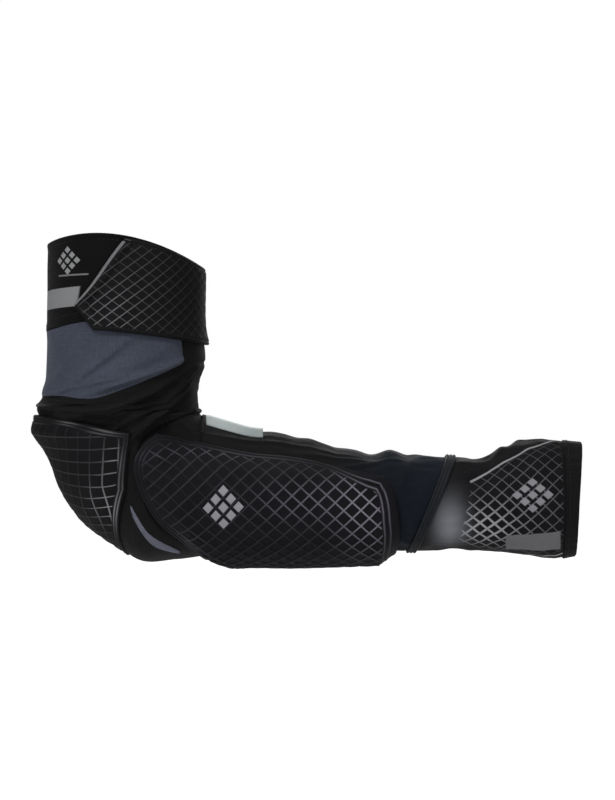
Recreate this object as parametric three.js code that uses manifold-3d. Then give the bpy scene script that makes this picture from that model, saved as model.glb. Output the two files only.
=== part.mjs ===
// A padded sleeve for the elbow and forearm, bent as it is worn: a hollow tube of stretch cloth with a strapped
// cuff at the upper arm, foam pads on the elbow and forearm, and a printed cuff at the wrist.
// Millimetres. The origin is the elbow's own centre inside the sleeve. The upper arm rises along +Z, the forearm
// runs along +X, and the near side, which carries the long pad's face, looks along -Y.
import * as THREE from "three";
import { mergeVertices } from "three/addons/utils/BufferGeometryUtils.js";
import Module from "manifold-3d";

const wasm = await Module();
wasm.setup();

// Main lengths, from the elbow's centre
const UPPER_RISE = 139.4;
const FOREARM_REACH = 270.6;

// Widths across the bend's plane, and depths square to it
const UPPER_WIDTH = 95;
const UPPER_DEPTH = 92;
const ELBOW_WIDTH = 84;
const ELBOW_DEPTH = 84;
const FOREARM_HEIGHT = 70;
const FOREARM_DEPTH = 74;

// The crook, the inside corner of the bend, is a small round about this point
const CROOK_X = 48.5;
const CROOK_Z = 42;
const CROOK_RADIUS = 4.7;

// Cloth, foam and the gap between neighbours
const SLEEVE_WALL = 1.6;
const CUFF_WALL = 2.2;
const STRAP_WALL = 2.4;
const HEM_WALL = 2.2;
const CLEARANCE = 0.35;
const PAD_GAP = 0.6;
const CREASE_GAP = 1.6;

// Upper cuff and its strap
const CUFF_HEIGHT = 47.5;
const RIM_TILT = 6.2;
const RIM_DIP = 4.8;
const CUFF_EDGE_DIP = 3.2;
const STRAP_INSET = 1.5;
const STRAP_DROP = 52.9;
const STRAP_TILT = 4.6;
const STRAP_DIP = 0.9;
const STRAP_WRAP = 235;
const STRAP_START = 84;

// Elbow pad and forearm pad
const ELBOW_PAD_THICKNESS = 12;
const ELBOW_PAD_EDGE = 3;
const FOREARM_PAD_THICKNESS = 10;
const FOREARM_PAD_EDGE = 2.6;
const ELBOW_PAD_HEAD = 0.1;
const ELBOW_PAD_TAIL = 0.36;
const FOREARM_PAD_HEAD = 0.16;
const FOREARM_PAD_TAIL = 0.09;
const PAD_RAMP_ROUND = 0.13;
const PAD_CROWN = 0.16;

// Gussets, seam, hem and label
const GUSSET_WIDTH = 4.3;
const GUSSET_WALL = 1.2;
const GUSSET_TIP = 0.1;
const SEAM_WIDTH = 6;
const SEAM_PLACE = 0.605;
const SEAM_SLANT = 12;
const SEAM_BASE = 0.5;
const SEAM_RIDGE = 0.7;
const HEM_WIDTH = 8.5;
const HEM_TILT = 1.8;
const HEM_DIP = 0.8;
const LABEL_LENGTH = 33;
const LABEL_HEIGHT = 7.2;
const LABEL_WALL = 0.8;
const LABEL_ROUND = 154;
const LABEL_START = 1;
const LABEL_SEAT = 0.8;

// The cloth's folds: half length across the arm, half width along it, and height
const FOLD_LENGTH = 40;
const FOLD_WIDTH = 4;
const FOLD_HEIGHT = 3;

// Facets round the arm
const ROUND_STEPS = 32;
const ARM_SPACE_STEPS = 18;
const SPACE_MARGIN = 0.2;

const QUARTER = Math.PI / 2;
const UPPER_RUN = UPPER_RISE - CROOK_Z;
const FOREARM_RUN = FOREARM_REACH - CROOK_X;
const BEND_RUN = (CROOK_RADIUS + ELBOW_WIDTH / 2) * QUARTER;

// Places along the sleeve count stretches: 0 is the mean rim, 1 the start of the bend, 2 its end and 3 the hem.
// Places round it are in degrees: 0 is the outer side, 90 the near side, 180 the crook's side and -90 the far one.

// Sections of the upper arm: shift and width are shares of UPPER_WIDTH, depth of UPPER_DEPTH
const UPPER_SECTIONS = [
  { at: -0.2, shift: 0.01, width: 0.957, depth: 1 },
  { at: 0, shift: 0.01, width: 0.957, depth: 1 },
  { at: 0.25, shift: 0.012, width: 0.96, depth: 1 },
  { at: 0.5, shift: 0.011, width: 0.965, depth: 1 },
  { at: 0.62, shift: -0.002, width: 0.99, depth: 1 },
  { at: 0.71, shift: -0.001, width: 0.995, depth: 0.99 },
  { at: 0.84, shift: 0.02, width: 0.978, depth: 0.975 },
  { at: 0.92, shift: 0.037, width: 0.99, depth: 0.965 },
  { at: 1, shift: 0.05, width: 1.022, depth: 0.955 },
];

// Sections of the bend, which swing about the crook: shares of ELBOW_WIDTH and ELBOW_DEPTH
const BEND_SECTIONS = [
  { at: 0.09, width: 1.06, depth: 1.03 },
  { at: 0.18, width: 0.985, depth: 1.01 },
  { at: 0.33, width: 0.985, depth: 1 },
  { at: 0.5, width: 1, depth: 0.99 },
  { at: 0.64, width: 1.065, depth: 0.98 },
  { at: 0.75, width: 1.092, depth: 0.97 },
  { at: 0.87, width: 1.03, depth: 0.955 },
];

// Sections of the forearm and hand: drop and height are shares of FOREARM_HEIGHT, depth of FOREARM_DEPTH
const FOREARM_SECTIONS = [
  { at: 0, drop: 0.057, height: 1.171, depth: 1.06 },
  { at: 0.12, drop: 0.093, height: 1.02, depth: 1.03 },
  { at: 0.229, drop: 0.114, height: 0.971, depth: 1 },
  { at: 0.341, drop: 0.15, height: 0.886, depth: 0.95 },
  { at: 0.452, drop: 0.179, height: 0.829, depth: 0.87 },
  { at: 0.563, drop: 0.197, height: 0.821, depth: 0.79 },
  { at: 0.675, drop: 0.196, height: 0.785, depth: 0.73 },
  { at: 0.73, drop: 0.211, height: 0.784, depth: 0.7 },
  { at: 0.8, drop: 0.172, height: 0.885, depth: 0.68 },
  { at: 0.875, drop: 0.149, height: 0.99, depth: 0.65 },
  { at: 0.942, drop: 0.164, height: 1.018, depth: 0.62 },
  { at: 1, drop: 0.159, height: 0.965, depth: 0.61 },
  { at: 1.1, drop: 0.161, height: 0.93, depth: 0.61 },
];

// Folds of the cloth: place, length, width and height as shares of a fold's own sizes, and lean in degrees
const FOLDS = [
  { along: 0.93, round: 60, length: 1, width: 0.8, lean: 8, height: 0.6 },
  { along: 1.0, round: 75, length: 0.65, width: 0.75, lean: -6, height: 0.8 },
  { along: 0.95, round: -65, length: 1, width: 1, lean: 8, height: 0.7 },
  { along: 0.62, round: 62, length: 0.75, width: 1.125, lean: -38, height: 0.45 },
  { along: 0.78, round: 85, length: 0.8, width: 1.125, lean: -30, height: 0.5 },
  { along: 0.82, round: 165, length: 0.55, width: 1.25, lean: 0, height: -0.4 },
  { along: 1.08, round: 118, length: 0.65, width: 1, lean: 10, height: 0.6 },
  { along: 2.18, round: 170, length: 0.55, width: 2.25, lean: 0, height: 0.5 },
  { along: 2.28, round: 170, length: 0.5, width: 1.5, lean: 0, height: 0.4 },
  { along: 2.35, round: 165, length: 0.6, width: 1, lean: 0, height: -0.3 },
  { along: 2.44, round: 172, length: 0.6, width: 1.5, lean: 0, height: -0.7 },
  { along: 2.495, round: 170, length: 0.55, width: 1.5, lean: 0, height: 1 },
  { along: 2.54, round: 172, length: 0.55, width: 0.875, lean: 0, height: -0.3 },
  { along: 2.79, round: 176, length: 0.45, width: 0.875, lean: 0, height: 0.5 },
  { along: 2.84, round: 190, length: 0.45, width: 1, lean: 12, height: 0.5 },
];

// Lower edge of the slate panel and of the black one in front of it, by degrees round
const PANEL_EDGE = [
  { round: 0, along: 0.92 },
  { round: 50, along: 0.915 },
  { round: 75, along: 0.93 },
  { round: 97, along: 0.869 },
  { round: 119, along: 0.792 },
  { round: 140, along: 0.721 },
  { round: 180, along: 0.7 },
];
const PANEL_SIDE = 139;

// Where the elbow's cloth meets the forearm's: a crease from the crook that dives under the long pad
const CREASE = [
  { round: 0, along: 2.02 },
  { round: 30, along: 1.98 },
  { round: 60, along: 1.79 },
  { round: 78, along: 1.56 },
  { round: 95, along: 1.33 },
  { round: 110, along: 1.225 },
  { round: 127, along: 1.192 },
  { round: 153, along: 1.158 },
  { round: 180, along: 1.15 },
];

// Outlines of the pads: sides gives the pad's reach round the arm, by share of its length, and ends gives where
// it starts and stops along the sleeve, by share of its way round from the far side to the near one
const ELBOW_PAD_SIDES = [
  { at: 0, low: -92, high: 92 },
  { at: 0.4, low: -85, high: 85 },
  { at: 0.66, low: -78, high: 78 },
  { at: 1, low: -66, high: 66 },
];
const ELBOW_PAD_ENDS = [
  { at: 0, start: 1.19, stop: 1.5 },
  { at: 0.14, start: 1.075, stop: 1.56 },
  { at: 0.27, start: 1.037, stop: 1.615 },
  { at: 0.5, start: 1.02, stop: 1.69 },
  { at: 0.73, start: 1.037, stop: 1.615 },
  { at: 0.86, start: 1.075, stop: 1.56 },
  { at: 1, start: 1.19, stop: 1.5 },
];
const FOREARM_PAD_SIDES = [
  { at: 0, low: -34, high: 111 },
  { at: 0.1, low: -36, high: 119 },
  { at: 0.25, low: -40, high: 126.5 },
  { at: 0.42, low: -44, high: 130 },
  { at: 0.6, low: -45, high: 128 },
  { at: 0.75, low: -45, high: 128.5 },
  { at: 0.88, low: -42, high: 127.5 },
  { at: 1, low: -38, high: 121 },
];
const FOREARM_PAD_ENDS = [
  { at: 0, start: 2.06, stop: 2.475 },
  { at: 0.27, start: 2.0, stop: 2.508 },
  { at: 0.42, start: 1.967, stop: 2.512 },
  { at: 0.62, start: 1.83, stop: 2.517 },
  { at: 0.72, start: 1.67, stop: 2.513 },
  { at: 0.78, start: 1.47, stop: 2.511 },
  { at: 0.9, start: 1.33, stop: 2.5 },
  { at: 1, start: 1.29, stop: 2.478 },
];

// The strap's free end: how far each place across the strap's width lies behind its start (degrees)
const STRAP_END = [
  { across: 0, back: -11 },
  { across: 0.17, back: -3 },
  { across: 0.52, back: 13 },
  { across: 0.64, back: 20 },
  { across: 0.74, back: 26 },
  { across: 0.83, back: 21.5 },
  { across: 1, back: 11 },
];

// Middle line of each gusset
const GUSSET_LINE = [
  { at: 0, along: 1.585, round: 60 },
  { at: 0.5, along: 1.735, round: 48 },
  { at: 1, along: 1.885, round: 30 },
];

// A smooth curve through a table's rows: key names the column that it is read by, and columns what it gives
function curve(rows, key, columns) {
  const keys = rows.map((row) => row[key]);
  const values = rows.flatMap((row) => columns.map((column) => row[column]));
  const cubic = new THREE.CubicInterpolant(keys, values, columns.length);
  return (at) => Array.from(cubic.evaluate(at));
}

// The sleeve's sections as one curve: centre, turn of the outer side, width and depth
function sleeveSections() {
  const rows = [];
  for (const { at, shift, width, depth } of UPPER_SECTIONS)
    rows.push({
      along: at,
      x: -shift * UPPER_WIDTH,
      z: UPPER_RISE - at * UPPER_RUN,
      turn: -QUARTER,
      width: width * UPPER_WIDTH,
      depth: depth * UPPER_DEPTH,
    });
  for (const { at, width, depth } of BEND_SECTIONS) {
    const turn = (at - 1) * QUARTER;
    const swing = CROOK_RADIUS + (width * ELBOW_WIDTH) / 2;
    rows.push({
      along: 1 + at,
      x: CROOK_X + swing * Math.sin(turn),
      z: CROOK_Z - swing * Math.cos(turn),
      turn,
      width: width * ELBOW_WIDTH,
      depth: depth * ELBOW_DEPTH,
    });
  }
  for (const { at, drop, height, depth } of FOREARM_SECTIONS)
    rows.push({
      along: 2 + at,
      x: CROOK_X + at * FOREARM_RUN,
      z: -drop * FOREARM_HEIGHT,
      turn: 0,
      width: height * FOREARM_HEIGHT,
      depth: depth * FOREARM_DEPTH,
    });
  return curve(rows, "along", ["x", "z", "turn", "width", "depth"]);
}
const section = sleeveSections();

const FULL_TURN = 360;
const HALF_TURN = FULL_TURN / 2;
const radians = (degrees) => (degrees * Math.PI) / HALF_TURN;
const wrapped = (round) => THREE.MathUtils.euclideanModulo(round + HALF_TURN, FULL_TURN) - HALF_TURN;
const smooth = (share) => THREE.MathUtils.smoothstep(share, 0, 1);
const mix = THREE.MathUtils.lerp;

// How far the folds lift the cloth at a place on the sleeve
function foldLift(along, round) {
  let lift = 0;
  for (const fold of FOLDS) {
    const run = along < 1 ? UPPER_RUN : along < 2 ? BEND_RUN : FOREARM_RUN;
    const down = (along - fold.along) * run;
    const across = (radians(wrapped(round - fold.round)) * UPPER_WIDTH) / 2;
    const lean = radians(fold.lean);
    const ridge = (down * Math.cos(lean) - across * Math.sin(lean)) / (fold.width * FOLD_WIDTH);
    const length = (down * Math.sin(lean) + across * Math.cos(lean)) / (fold.length * FOLD_LENGTH);
    lift += fold.height * Math.exp(-(ridge ** 2) - length ** 2);
  }
  return lift * FOLD_HEIGHT;
}

// A point at a place on the sleeve, out millimetres above the cloth's outer face
function skin(along, round, out) {
  const [x, z, turn, width, depth] = section(along);
  const lift = out + foldLift(along, round);
  const across = (width / 2 + lift) * Math.cos(radians(round));
  const aside = (depth / 2 + lift) * Math.sin(radians(round));
  return new THREE.Vector3(x + across * Math.sin(turn), -aside, z - across * Math.cos(turn));
}

// Moves each vertex of a closed geometry by a rule, and keeps its faces pointing out
function reshape(source, rule) {
  const moved = source.clone();
  moved.deleteAttribute("normal");
  moved.deleteAttribute("uv");
  const place = moved.attributes.position;
  for (let i = 0; i < place.count; i++)
    place.setXYZ(i, ...rule(place.getX(i), place.getY(i), place.getZ(i)).toArray());
  const merged = mergeVertices(moved, 1e-4);
  if (volume(merged) < 0) {
    const corners = merged.index;
    for (let i = 0; i < corners.count; i += 3) {
      const second = corners.getX(i + 1);
      corners.setX(i + 1, corners.getX(i + 2));
      corners.setX(i + 2, second);
    }
  }
  merged.computeVertexNormals();
  return merged;
}

// The signed volume inside a closed geometry
function volume(geometry) {
  const place = geometry.attributes.position;
  const corner = [0, 1, 2].map(() => new THREE.Vector3());
  let sum = 0;
  for (let i = 0; i < geometry.index.count; i += 3) {
    corner.forEach((point, k) => point.fromBufferAttribute(place, geometry.index.getX(i + k)));
    sum += corner[0].dot(corner[1].cross(corner[2])) / 6;
  }
  return sum;
}

// A closed band of cloth round the whole arm, between two edges that are given by degrees round. Its inner and
// outer faces lie inner and outer above the cloth's outer face, and relief raises the outer one.
function band({ from, to, inner, outer, steps, relief = () => 0 }) {
  const profile = [];
  for (let i = 0; i <= steps; i++) profile.push(new THREE.Vector2(2, i / steps));
  for (let i = steps; i >= 0; i--) profile.push(new THREE.Vector2(1, i / steps));
  profile.push(profile[0].clone());
  return reshape(new THREE.LatheGeometry(profile, ROUND_STEPS), (x, share, z) => {
    const round = THREE.MathUtils.radToDeg(Math.atan2(x, z));
    const layer = Math.hypot(x, z) - 1;
    const out = mix(inner, outer, layer) + layer * relief(share, round);
    return skin(mix(from(round), to(round), share), round, out);
  });
}

// The whole arm's space up to a height above the cloth, closed at both ends
function armSpace(first, last, out) {
  const steps = Math.round((last - first) * ARM_SPACE_STEPS);
  const profile = [new THREE.Vector2(0, 0)];
  for (let i = 0; i <= steps; i++) profile.push(new THREE.Vector2(1, i / steps));
  profile.push(new THREE.Vector2(0, 1));
  return reshape(new THREE.LatheGeometry(profile, ROUND_STEPS), (x, share, z) => {
    const round = THREE.MathUtils.radToDeg(Math.atan2(x, z));
    const along = mix(first, last, share);
    const rim = skin(along, round, out);
    return Math.hypot(x, z) > 0.5 ? rim : rim.add(skin(along, round + HALF_TURN, out)).multiplyScalar(0.5);
  });
}

function solidOf(geometry) {
  const vertProperties = Float32Array.from(geometry.attributes.position.array);
  const triVerts = Uint32Array.from(geometry.index.array);
  return new wasm.Manifold(new wasm.Mesh({ numProp: 3, vertProperties, triVerts }));
}

// One closed geometry with another's space cut away from it
function cutAway(geometry, tool) {
  const mesh = solidOf(geometry).subtract(solidOf(tool)).getMesh();
  const cut = new THREE.BufferGeometry();
  cut.setAttribute("position", new THREE.BufferAttribute(mesh.vertProperties, 3));
  cut.setIndex(new THREE.BufferAttribute(mesh.triVerts, 1));
  cut.computeVertexNormals();
  return cut;
}

// A panel on part of the arm. place gives along and round for shares of its length and of its way round, and
// relief gives the height of its upper face.
function panel({ place, inner, relief, steps, turns, spread = (share) => share }) {
  return reshape(new THREE.BoxGeometry(1, 1, 1, steps, turns, 1), (x, y, z) => {
    const down = spread(x + 0.5);
    const across = spread(y + 0.5);
    const [along, round] = place(down, across);
    return skin(along, round, mix(inner, relief(down, across), z + 0.5));
  });
}

// Both halves of the sleeve share these edges: they are read by the degrees away from the outer side
const panelCurve = curve(PANEL_EDGE, "round", ["along"]);
const creaseCurve = curve(CREASE, "round", ["along"]);
const panelEdge = (round) => panelCurve(Math.abs(round))[0];
const creaseEdge = (round) => creaseCurve(Math.abs(round))[0];

const rimEdge = (round) =>
  -(RIM_TILT * Math.cos(radians(round)) - RIM_DIP * Math.cos(radians(2 * round))) / UPPER_RUN;
const cuffEdge = (round) =>
  (CUFF_HEIGHT + CUFF_EDGE_DIP * Math.cos(radians(2 * round))) / UPPER_RUN;
const strapEdge = (round) => {
  const bow = STRAP_DIP * Math.cos(radians(2 * round));
  return (STRAP_DROP - STRAP_TILT * Math.cos(radians(round)) + bow) / UPPER_RUN;
};
const seamEdge = (round) =>
  2 + SEAM_PLACE - (SEAM_SLANT * Math.cos(radians(round))) / FOREARM_RUN;
const hemEdge = (round) =>
  3 - (HEM_TILT * Math.cos(radians(round)) - HEM_DIP * Math.cos(radians(2 * round))) / FOREARM_RUN;
const upperGap = CLEARANCE / UPPER_RUN;
const creaseGap = CREASE_GAP / 2 / BEND_RUN;
const foreGap = CLEARANCE / FOREARM_RUN;
const hemStart = 3 - HEM_WIDTH / FOREARM_RUN;
const sideGap = THREE.MathUtils.radToDeg(CLEARANCE / (UPPER_WIDTH / 2));

function upperCuff() {
  return band({
    from: rimEdge,
    to: cuffEdge,
    inner: -SLEEVE_WALL,
    outer: CUFF_WALL - SLEEVE_WALL,
    steps: 4,
  });
}

// The strap starts at its slanted free end and wraps the front and the far side, from just under the cuff's
// rim to below its lower edge
function upperStrap() {
  const end = curve(STRAP_END, "across", ["back"]);
  const base = CUFF_WALL - SLEEVE_WALL + CLEARANCE;
  const place = (down, across) => {
    const start = STRAP_START - end(down)[0];
    const round = mix(start, STRAP_START + STRAP_WRAP, across);
    return [mix(rimEdge(round) + STRAP_INSET / UPPER_RUN, strapEdge(round), down), round];
  };
  const relief = () => base + STRAP_WALL;
  const strap = panel({ place, inner: base - SLEEVE_WALL, relief, steps: 7, turns: 20 });
  return cutAway(strap, armSpace(-SPACE_MARGIN, 1, base));
}

// A panel of cloth under the cuff, between two places round the arm
function clothUnderCuff(first, last, turns) {
  const place = (down, across) => {
    const round = mix(first, last, across);
    return [mix(cuffEdge(round) + upperGap, panelEdge(wrapped(round)) - upperGap, down), round];
  };
  return panel({ place, inner: -SLEEVE_WALL, relief: () => 0, steps: 7, turns });
}

function elbowSleeve() {
  return band({
    from: (round) => panelEdge(round) + upperGap,
    to: (round) => creaseEdge(round) - creaseGap,
    inner: -SLEEVE_WALL,
    outer: 0,
    steps: 14,
  });
}

function forearmSleeve() {
  return band({
    from: (round) => creaseEdge(round) + creaseGap,
    to: (round) => seamEdge(round) - foreGap,
    inner: -SLEEVE_WALL,
    outer: 0,
    steps: 14,
  });
}

function wristCuff() {
  return band({
    from: (round) => seamEdge(round) + foreGap,
    to: () => hemStart - foreGap,
    inner: -SLEEVE_WALL,
    outer: 0,
    steps: 8,
  });
}

function wristHem() {
  return band({
    from: () => hemStart + foreGap,
    to: hemEdge,
    inner: -SLEEVE_WALL,
    outer: HEM_WALL - SLEEVE_WALL,
    steps: 2,
  });
}

// The flatlock seam lies over the joint of the forearm's cloth and the wrist cuff, in three ridges
function wristSeam() {
  const half = SEAM_WIDTH / 2 / FOREARM_RUN;
  return band({
    from: (round) => seamEdge(round) - half,
    to: (round) => seamEdge(round) + half,
    inner: CLEARANCE,
    outer: CLEARANCE + SEAM_BASE,
    steps: 6,
    relief: (share) => SEAM_RIDGE * Math.sin(3 * Math.PI * share) ** 2,
  });
}

// A moulded pad: thin at its edge, ramping up to a crowned face. head and tail are the ramps at its two ends.
function mouldedPad({ sides, ends, thickness, edge, head, tail, steps, turns }) {
  const reach = curve(sides, "at", ["low", "high"]);
  const run = curve(ends, "at", ["start", "stop"]);
  const place = (down, across) => {
    const [low, high] = reach(down);
    const [start, stop] = run(across);
    return [mix(start, stop, down), mix(low, high, across)];
  };
  const height = (down, across) => {
    const inset = Math.min(
      Math.min(down / head, (1 - down) / tail),
      Math.min(across, 1 - across) / PAD_RAMP_ROUND,
    );
    const crown = 1 - PAD_CROWN * (2 * down - 1) ** 2 - PAD_CROWN * (2 * across - 1) ** 2;
    return CLEARANCE + mix(edge, thickness * crown, smooth(inset));
  };
  const spread = (share) => (1 - Math.cos(Math.PI * share)) / 2;
  const pad = panel({ place, inner: -SLEEVE_WALL, relief: height, steps, turns, spread });
  const first = Math.min(...ends.map((row) => row.start)) - SPACE_MARGIN;
  const last = Math.max(...ends.map((row) => row.stop)) + SPACE_MARGIN;
  return cutAway(pad, armSpace(first, last, PAD_GAP));
}

// A narrow crescent of cloth beside the long pad, on the near side or mirrored to the far one
function gusset(side) {
  const line = curve(GUSSET_LINE, "at", ["along", "round"]);
  const place = (down, across) => {
    const [along, round] = line(down);
    const width = GUSSET_WIDTH * Math.sqrt(Math.max(GUSSET_TIP, 1 - (2 * down - 1) ** 2));
    const aside = (across - 0.5) * width;
    return [along - aside / BEND_RUN, side * (round - THREE.MathUtils.radToDeg(aside / ELBOW_DEPTH))];
  };
  return panel({ place, inner: CLEARANCE, relief: () => CLEARANCE + GUSSET_WALL, steps: 8, turns: 2 });
}

// The tag stands out of the top seam, along the forearm
function careLabel() {
  const thick = THREE.MathUtils.radToDeg(LABEL_WALL / (FOREARM_DEPTH / 2));
  const tag = reshape(new THREE.BoxGeometry(1, 1, 1, 6, 1, 1), (x, y, z) => {
    const along = 2 + (LABEL_START + (x + 0.5) * LABEL_LENGTH) / FOREARM_RUN;
    return skin(along, LABEL_ROUND + z * thick, mix(-SLEEVE_WALL, LABEL_HEIGHT, y + 0.5));
  });
  return cutAway(tag, armSpace(2 - SPACE_MARGIN, 2 + 2 * SPACE_MARGIN, LABEL_SEAT));
}

const CLOTH = { roughness: 0.85, metalness: 0 };
const FOAM = { roughness: 0.6, metalness: 0 };

const guard = new THREE.Group();

function addPiece(name, geometry, color, finish) {
  const mesh = new THREE.Mesh(geometry, new THREE.MeshStandardMaterial({ color, ...finish }));
  mesh.name = name;
  guard.add(mesh);
}

addPiece("upper_cuff", upperCuff(), 0x121214, CLOTH);
addPiece("upper_strap", upperStrap(), 0x161618, CLOTH);
addPiece("upper_panel", clothUnderCuff(-PANEL_SIDE, PANEL_SIDE, 26), 0x414652, CLOTH);
const frontStart = PANEL_SIDE + sideGap;
addPiece("front_panel", clothUnderCuff(frontStart, FULL_TURN - frontStart, 8), 0x121214, CLOTH);
addPiece("elbow_sleeve", elbowSleeve(), 0x121214, CLOTH);
addPiece("gusset_near", gusset(1), 0x3a3d47, CLOTH);
addPiece("gusset_far", gusset(-1), 0x3a3d47, CLOTH);
addPiece(
  "elbow_pad",
  mouldedPad({
    sides: ELBOW_PAD_SIDES,
    ends: ELBOW_PAD_ENDS,
    thickness: ELBOW_PAD_THICKNESS,
    edge: ELBOW_PAD_EDGE,
    head: ELBOW_PAD_HEAD,
    tail: ELBOW_PAD_TAIL,
    steps: 12,
    turns: 14,
  }),
  0x17171a,
  FOAM,
);
addPiece("forearm_sleeve", forearmSleeve(), 0x12151b, CLOTH);
addPiece(
  "forearm_pad",
  mouldedPad({
    sides: FOREARM_PAD_SIDES,
    ends: FOREARM_PAD_ENDS,
    thickness: FOREARM_PAD_THICKNESS,
    edge: FOREARM_PAD_EDGE,
    head: FOREARM_PAD_HEAD,
    tail: FOREARM_PAD_TAIL,
    steps: 16,
    turns: 12,
  }),
  0x151418,
  FOAM,
);
addPiece("care_label", careLabel(), 0xbec8c6, CLOTH);
addPiece("wrist_seam", wristSeam(), 0x15171c, CLOTH);
addPiece("wrist_cuff", wristCuff(), 0x1c1d24, CLOTH);
addPiece("wrist_hem", wristHem(), 0x121214, CLOTH);

export default guard;
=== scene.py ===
import math
from collections import namedtuple

import bmesh
import bpy
import numpy as np
from mathutils import Matrix, Vector, kdtree, noise


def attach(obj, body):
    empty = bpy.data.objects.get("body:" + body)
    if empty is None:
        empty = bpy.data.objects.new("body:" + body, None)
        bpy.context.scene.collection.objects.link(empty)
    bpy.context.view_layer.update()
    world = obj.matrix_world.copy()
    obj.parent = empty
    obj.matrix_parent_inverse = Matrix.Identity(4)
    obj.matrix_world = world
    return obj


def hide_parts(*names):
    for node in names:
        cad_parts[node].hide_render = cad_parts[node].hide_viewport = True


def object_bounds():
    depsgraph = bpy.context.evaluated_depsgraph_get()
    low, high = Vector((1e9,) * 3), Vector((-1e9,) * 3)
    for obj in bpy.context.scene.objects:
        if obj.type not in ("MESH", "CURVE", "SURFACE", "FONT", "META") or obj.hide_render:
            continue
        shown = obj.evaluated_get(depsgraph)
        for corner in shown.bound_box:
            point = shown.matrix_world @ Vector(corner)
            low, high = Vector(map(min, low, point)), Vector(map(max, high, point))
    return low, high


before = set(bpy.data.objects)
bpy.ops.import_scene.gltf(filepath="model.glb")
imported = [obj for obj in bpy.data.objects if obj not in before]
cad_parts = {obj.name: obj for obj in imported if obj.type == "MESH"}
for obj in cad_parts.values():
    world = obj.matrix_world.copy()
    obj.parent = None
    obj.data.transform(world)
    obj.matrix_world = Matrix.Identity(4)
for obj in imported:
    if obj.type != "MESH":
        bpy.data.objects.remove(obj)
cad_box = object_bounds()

# Camera, lamps and floor
# The guard is seen from its near side, level with the middle of its height, against plain white paper under
# soft lamps. Nothing here is part of the guard.
PHOTO_HEIGHT = 800                   # pixels
PIXEL = 0.0006                       # metres that one pixel covers at the arm's own depth
EYE = Vector((0.1089, -1.4, 0.048))
SENSOR = 0.036
FLOOR_DROP = 0.3
FLOOR_HALF = 6
PAPER_LIGHT = 0.13                   # share of its own brightness that the paper sheds on the guard

eye = bpy.data.objects.new("eye", bpy.data.cameras.new("eye"))
eye.data.sensor_width = SENSOR * 1000
eye.data.lens = -EYE.y * SENSOR / (PHOTO_HEIGHT * PIXEL) * 1000
eye.location = EYE
eye.rotation_euler = (math.pi / 2, 0, 0)
bpy.context.scene.collection.objects.link(eye)
bpy.context.scene.camera = eye
bpy.context.scene.view_settings.view_transform = "Standard"


def lamp(name, place, aim, size, watts, colour=(1, 1, 1)):
    light = bpy.data.lights.new(name, "AREA")
    light.shape = "RECTANGLE"
    light.size, light.size_y = size
    light.energy = watts
    light.color = colour
    lit = bpy.data.objects.new(name, light)
    lit.location = place
    lit.rotation_euler = (Vector(aim) - Vector(place)).to_track_quat("-Z", "Y").to_euler()
    bpy.context.scene.collection.objects.link(lit)


lamp("key", (-0.25, -0.8, 0.85), (0.1, 0, 0), (0.3, 0.35), 5.5)
lamp("right", (0.75, -0.9, 0.2), (0.12, 0, 0), (0.3, 0.5), 2.2)
lamp("left", (-0.6, -0.7, 0.05), (0, 0, 0), (0.3, 0.8), 1.4, (0.93, 0.96, 1))
lamp("top", (0.1, 0.1, 1.0), (0.1, 0, 0), (0.9, 0.5), 2.4)
lamp("back", (0.1, 1.1, 0.4), (0.1, 0, 0), (1.2, 0.6), 7)

# The paper is white to the camera, but lights the guard less than it shows
paper = bpy.data.worlds.new("paper")
paper.use_nodes = True
nodes, links = paper.node_tree.nodes, paper.node_tree.links
nodes["Background"].inputs["Color"].default_value = (1, 1, 1, 1)
seen = nodes.new("ShaderNodeLightPath").outputs["Is Camera Ray"]
strength = nodes.new("ShaderNodeMapRange")
strength.inputs["To Min"].default_value = PAPER_LIGHT
strength.inputs["To Max"].default_value = 1
links.new(seen, strength.inputs["Value"])
links.new(strength.outputs["Result"], nodes["Background"].inputs["Strength"])
bpy.context.scene.world = paper

table = bmesh.new()
bmesh.ops.create_grid(table, x_segments=1, y_segments=1, size=FLOOR_HALF)
bmesh.ops.translate(table, verts=table.verts, vec=(0, 0, cad_box[0][2] - FLOOR_DROP))
floor = bpy.data.objects.new("floor", bpy.data.meshes.new("floor"))
table.to_mesh(floor.data)
table.free()
bpy.context.scene.collection.objects.link(floor)
white = bpy.data.materials.new("white_paper")
white.use_nodes = True
nodes, links = white.node_tree.nodes, white.node_tree.links
face = nodes["Principled BSDF"].inputs
face["Base Color"].default_value = (0.8, 0.8, 0.8, 1)
face["Roughness"].default_value = 0.9
face["Emission Color"].default_value = (1, 1, 1, 1)
links.new(nodes.new("ShaderNodeLightPath").outputs["Is Camera Ray"], face["Emission Strength"])
floor.data.materials.append(white)

# Elbow sleeve
# A tube of black stretch knit over the elbow, sewn to the bent arm's form and gathered above the elbow pad.
# Every piece lies on it. Places along it count stretches: 0 the upper rim, 1 the start of the bend, 2 its
# end, 3 the hem. Places round it are degrees: 0 the outer side, 90 the near side, 180 the crook's side.
UPPER_RISE, FOREARM_REACH = 0.1394, 0.2706
UPPER_WIDTH, UPPER_DEPTH = 0.095, 0.092
ELBOW_WIDTH, ELBOW_DEPTH = 0.084, 0.084
FOREARM_HEIGHT, FOREARM_DEPTH = 0.070, 0.074
CROOK_X, CROOK_Z, CROOK_RADIUS = 0.0485, 0.042, 0.0047
SLEEVE_WALL = 0.0016
GAP = 0.00035

UPPER_RUN = UPPER_RISE - CROOK_Z
FOREARM_RUN = FOREARM_REACH - CROOK_X
BEND_RUN = (CROOK_RADIUS + ELBOW_WIDTH / 2) * math.pi / 2


def table(columns, rows):
    """A table's rows, with their columns named."""
    row_kind = namedtuple("Row", columns)
    return [row_kind(*row) for row in rows]


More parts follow.
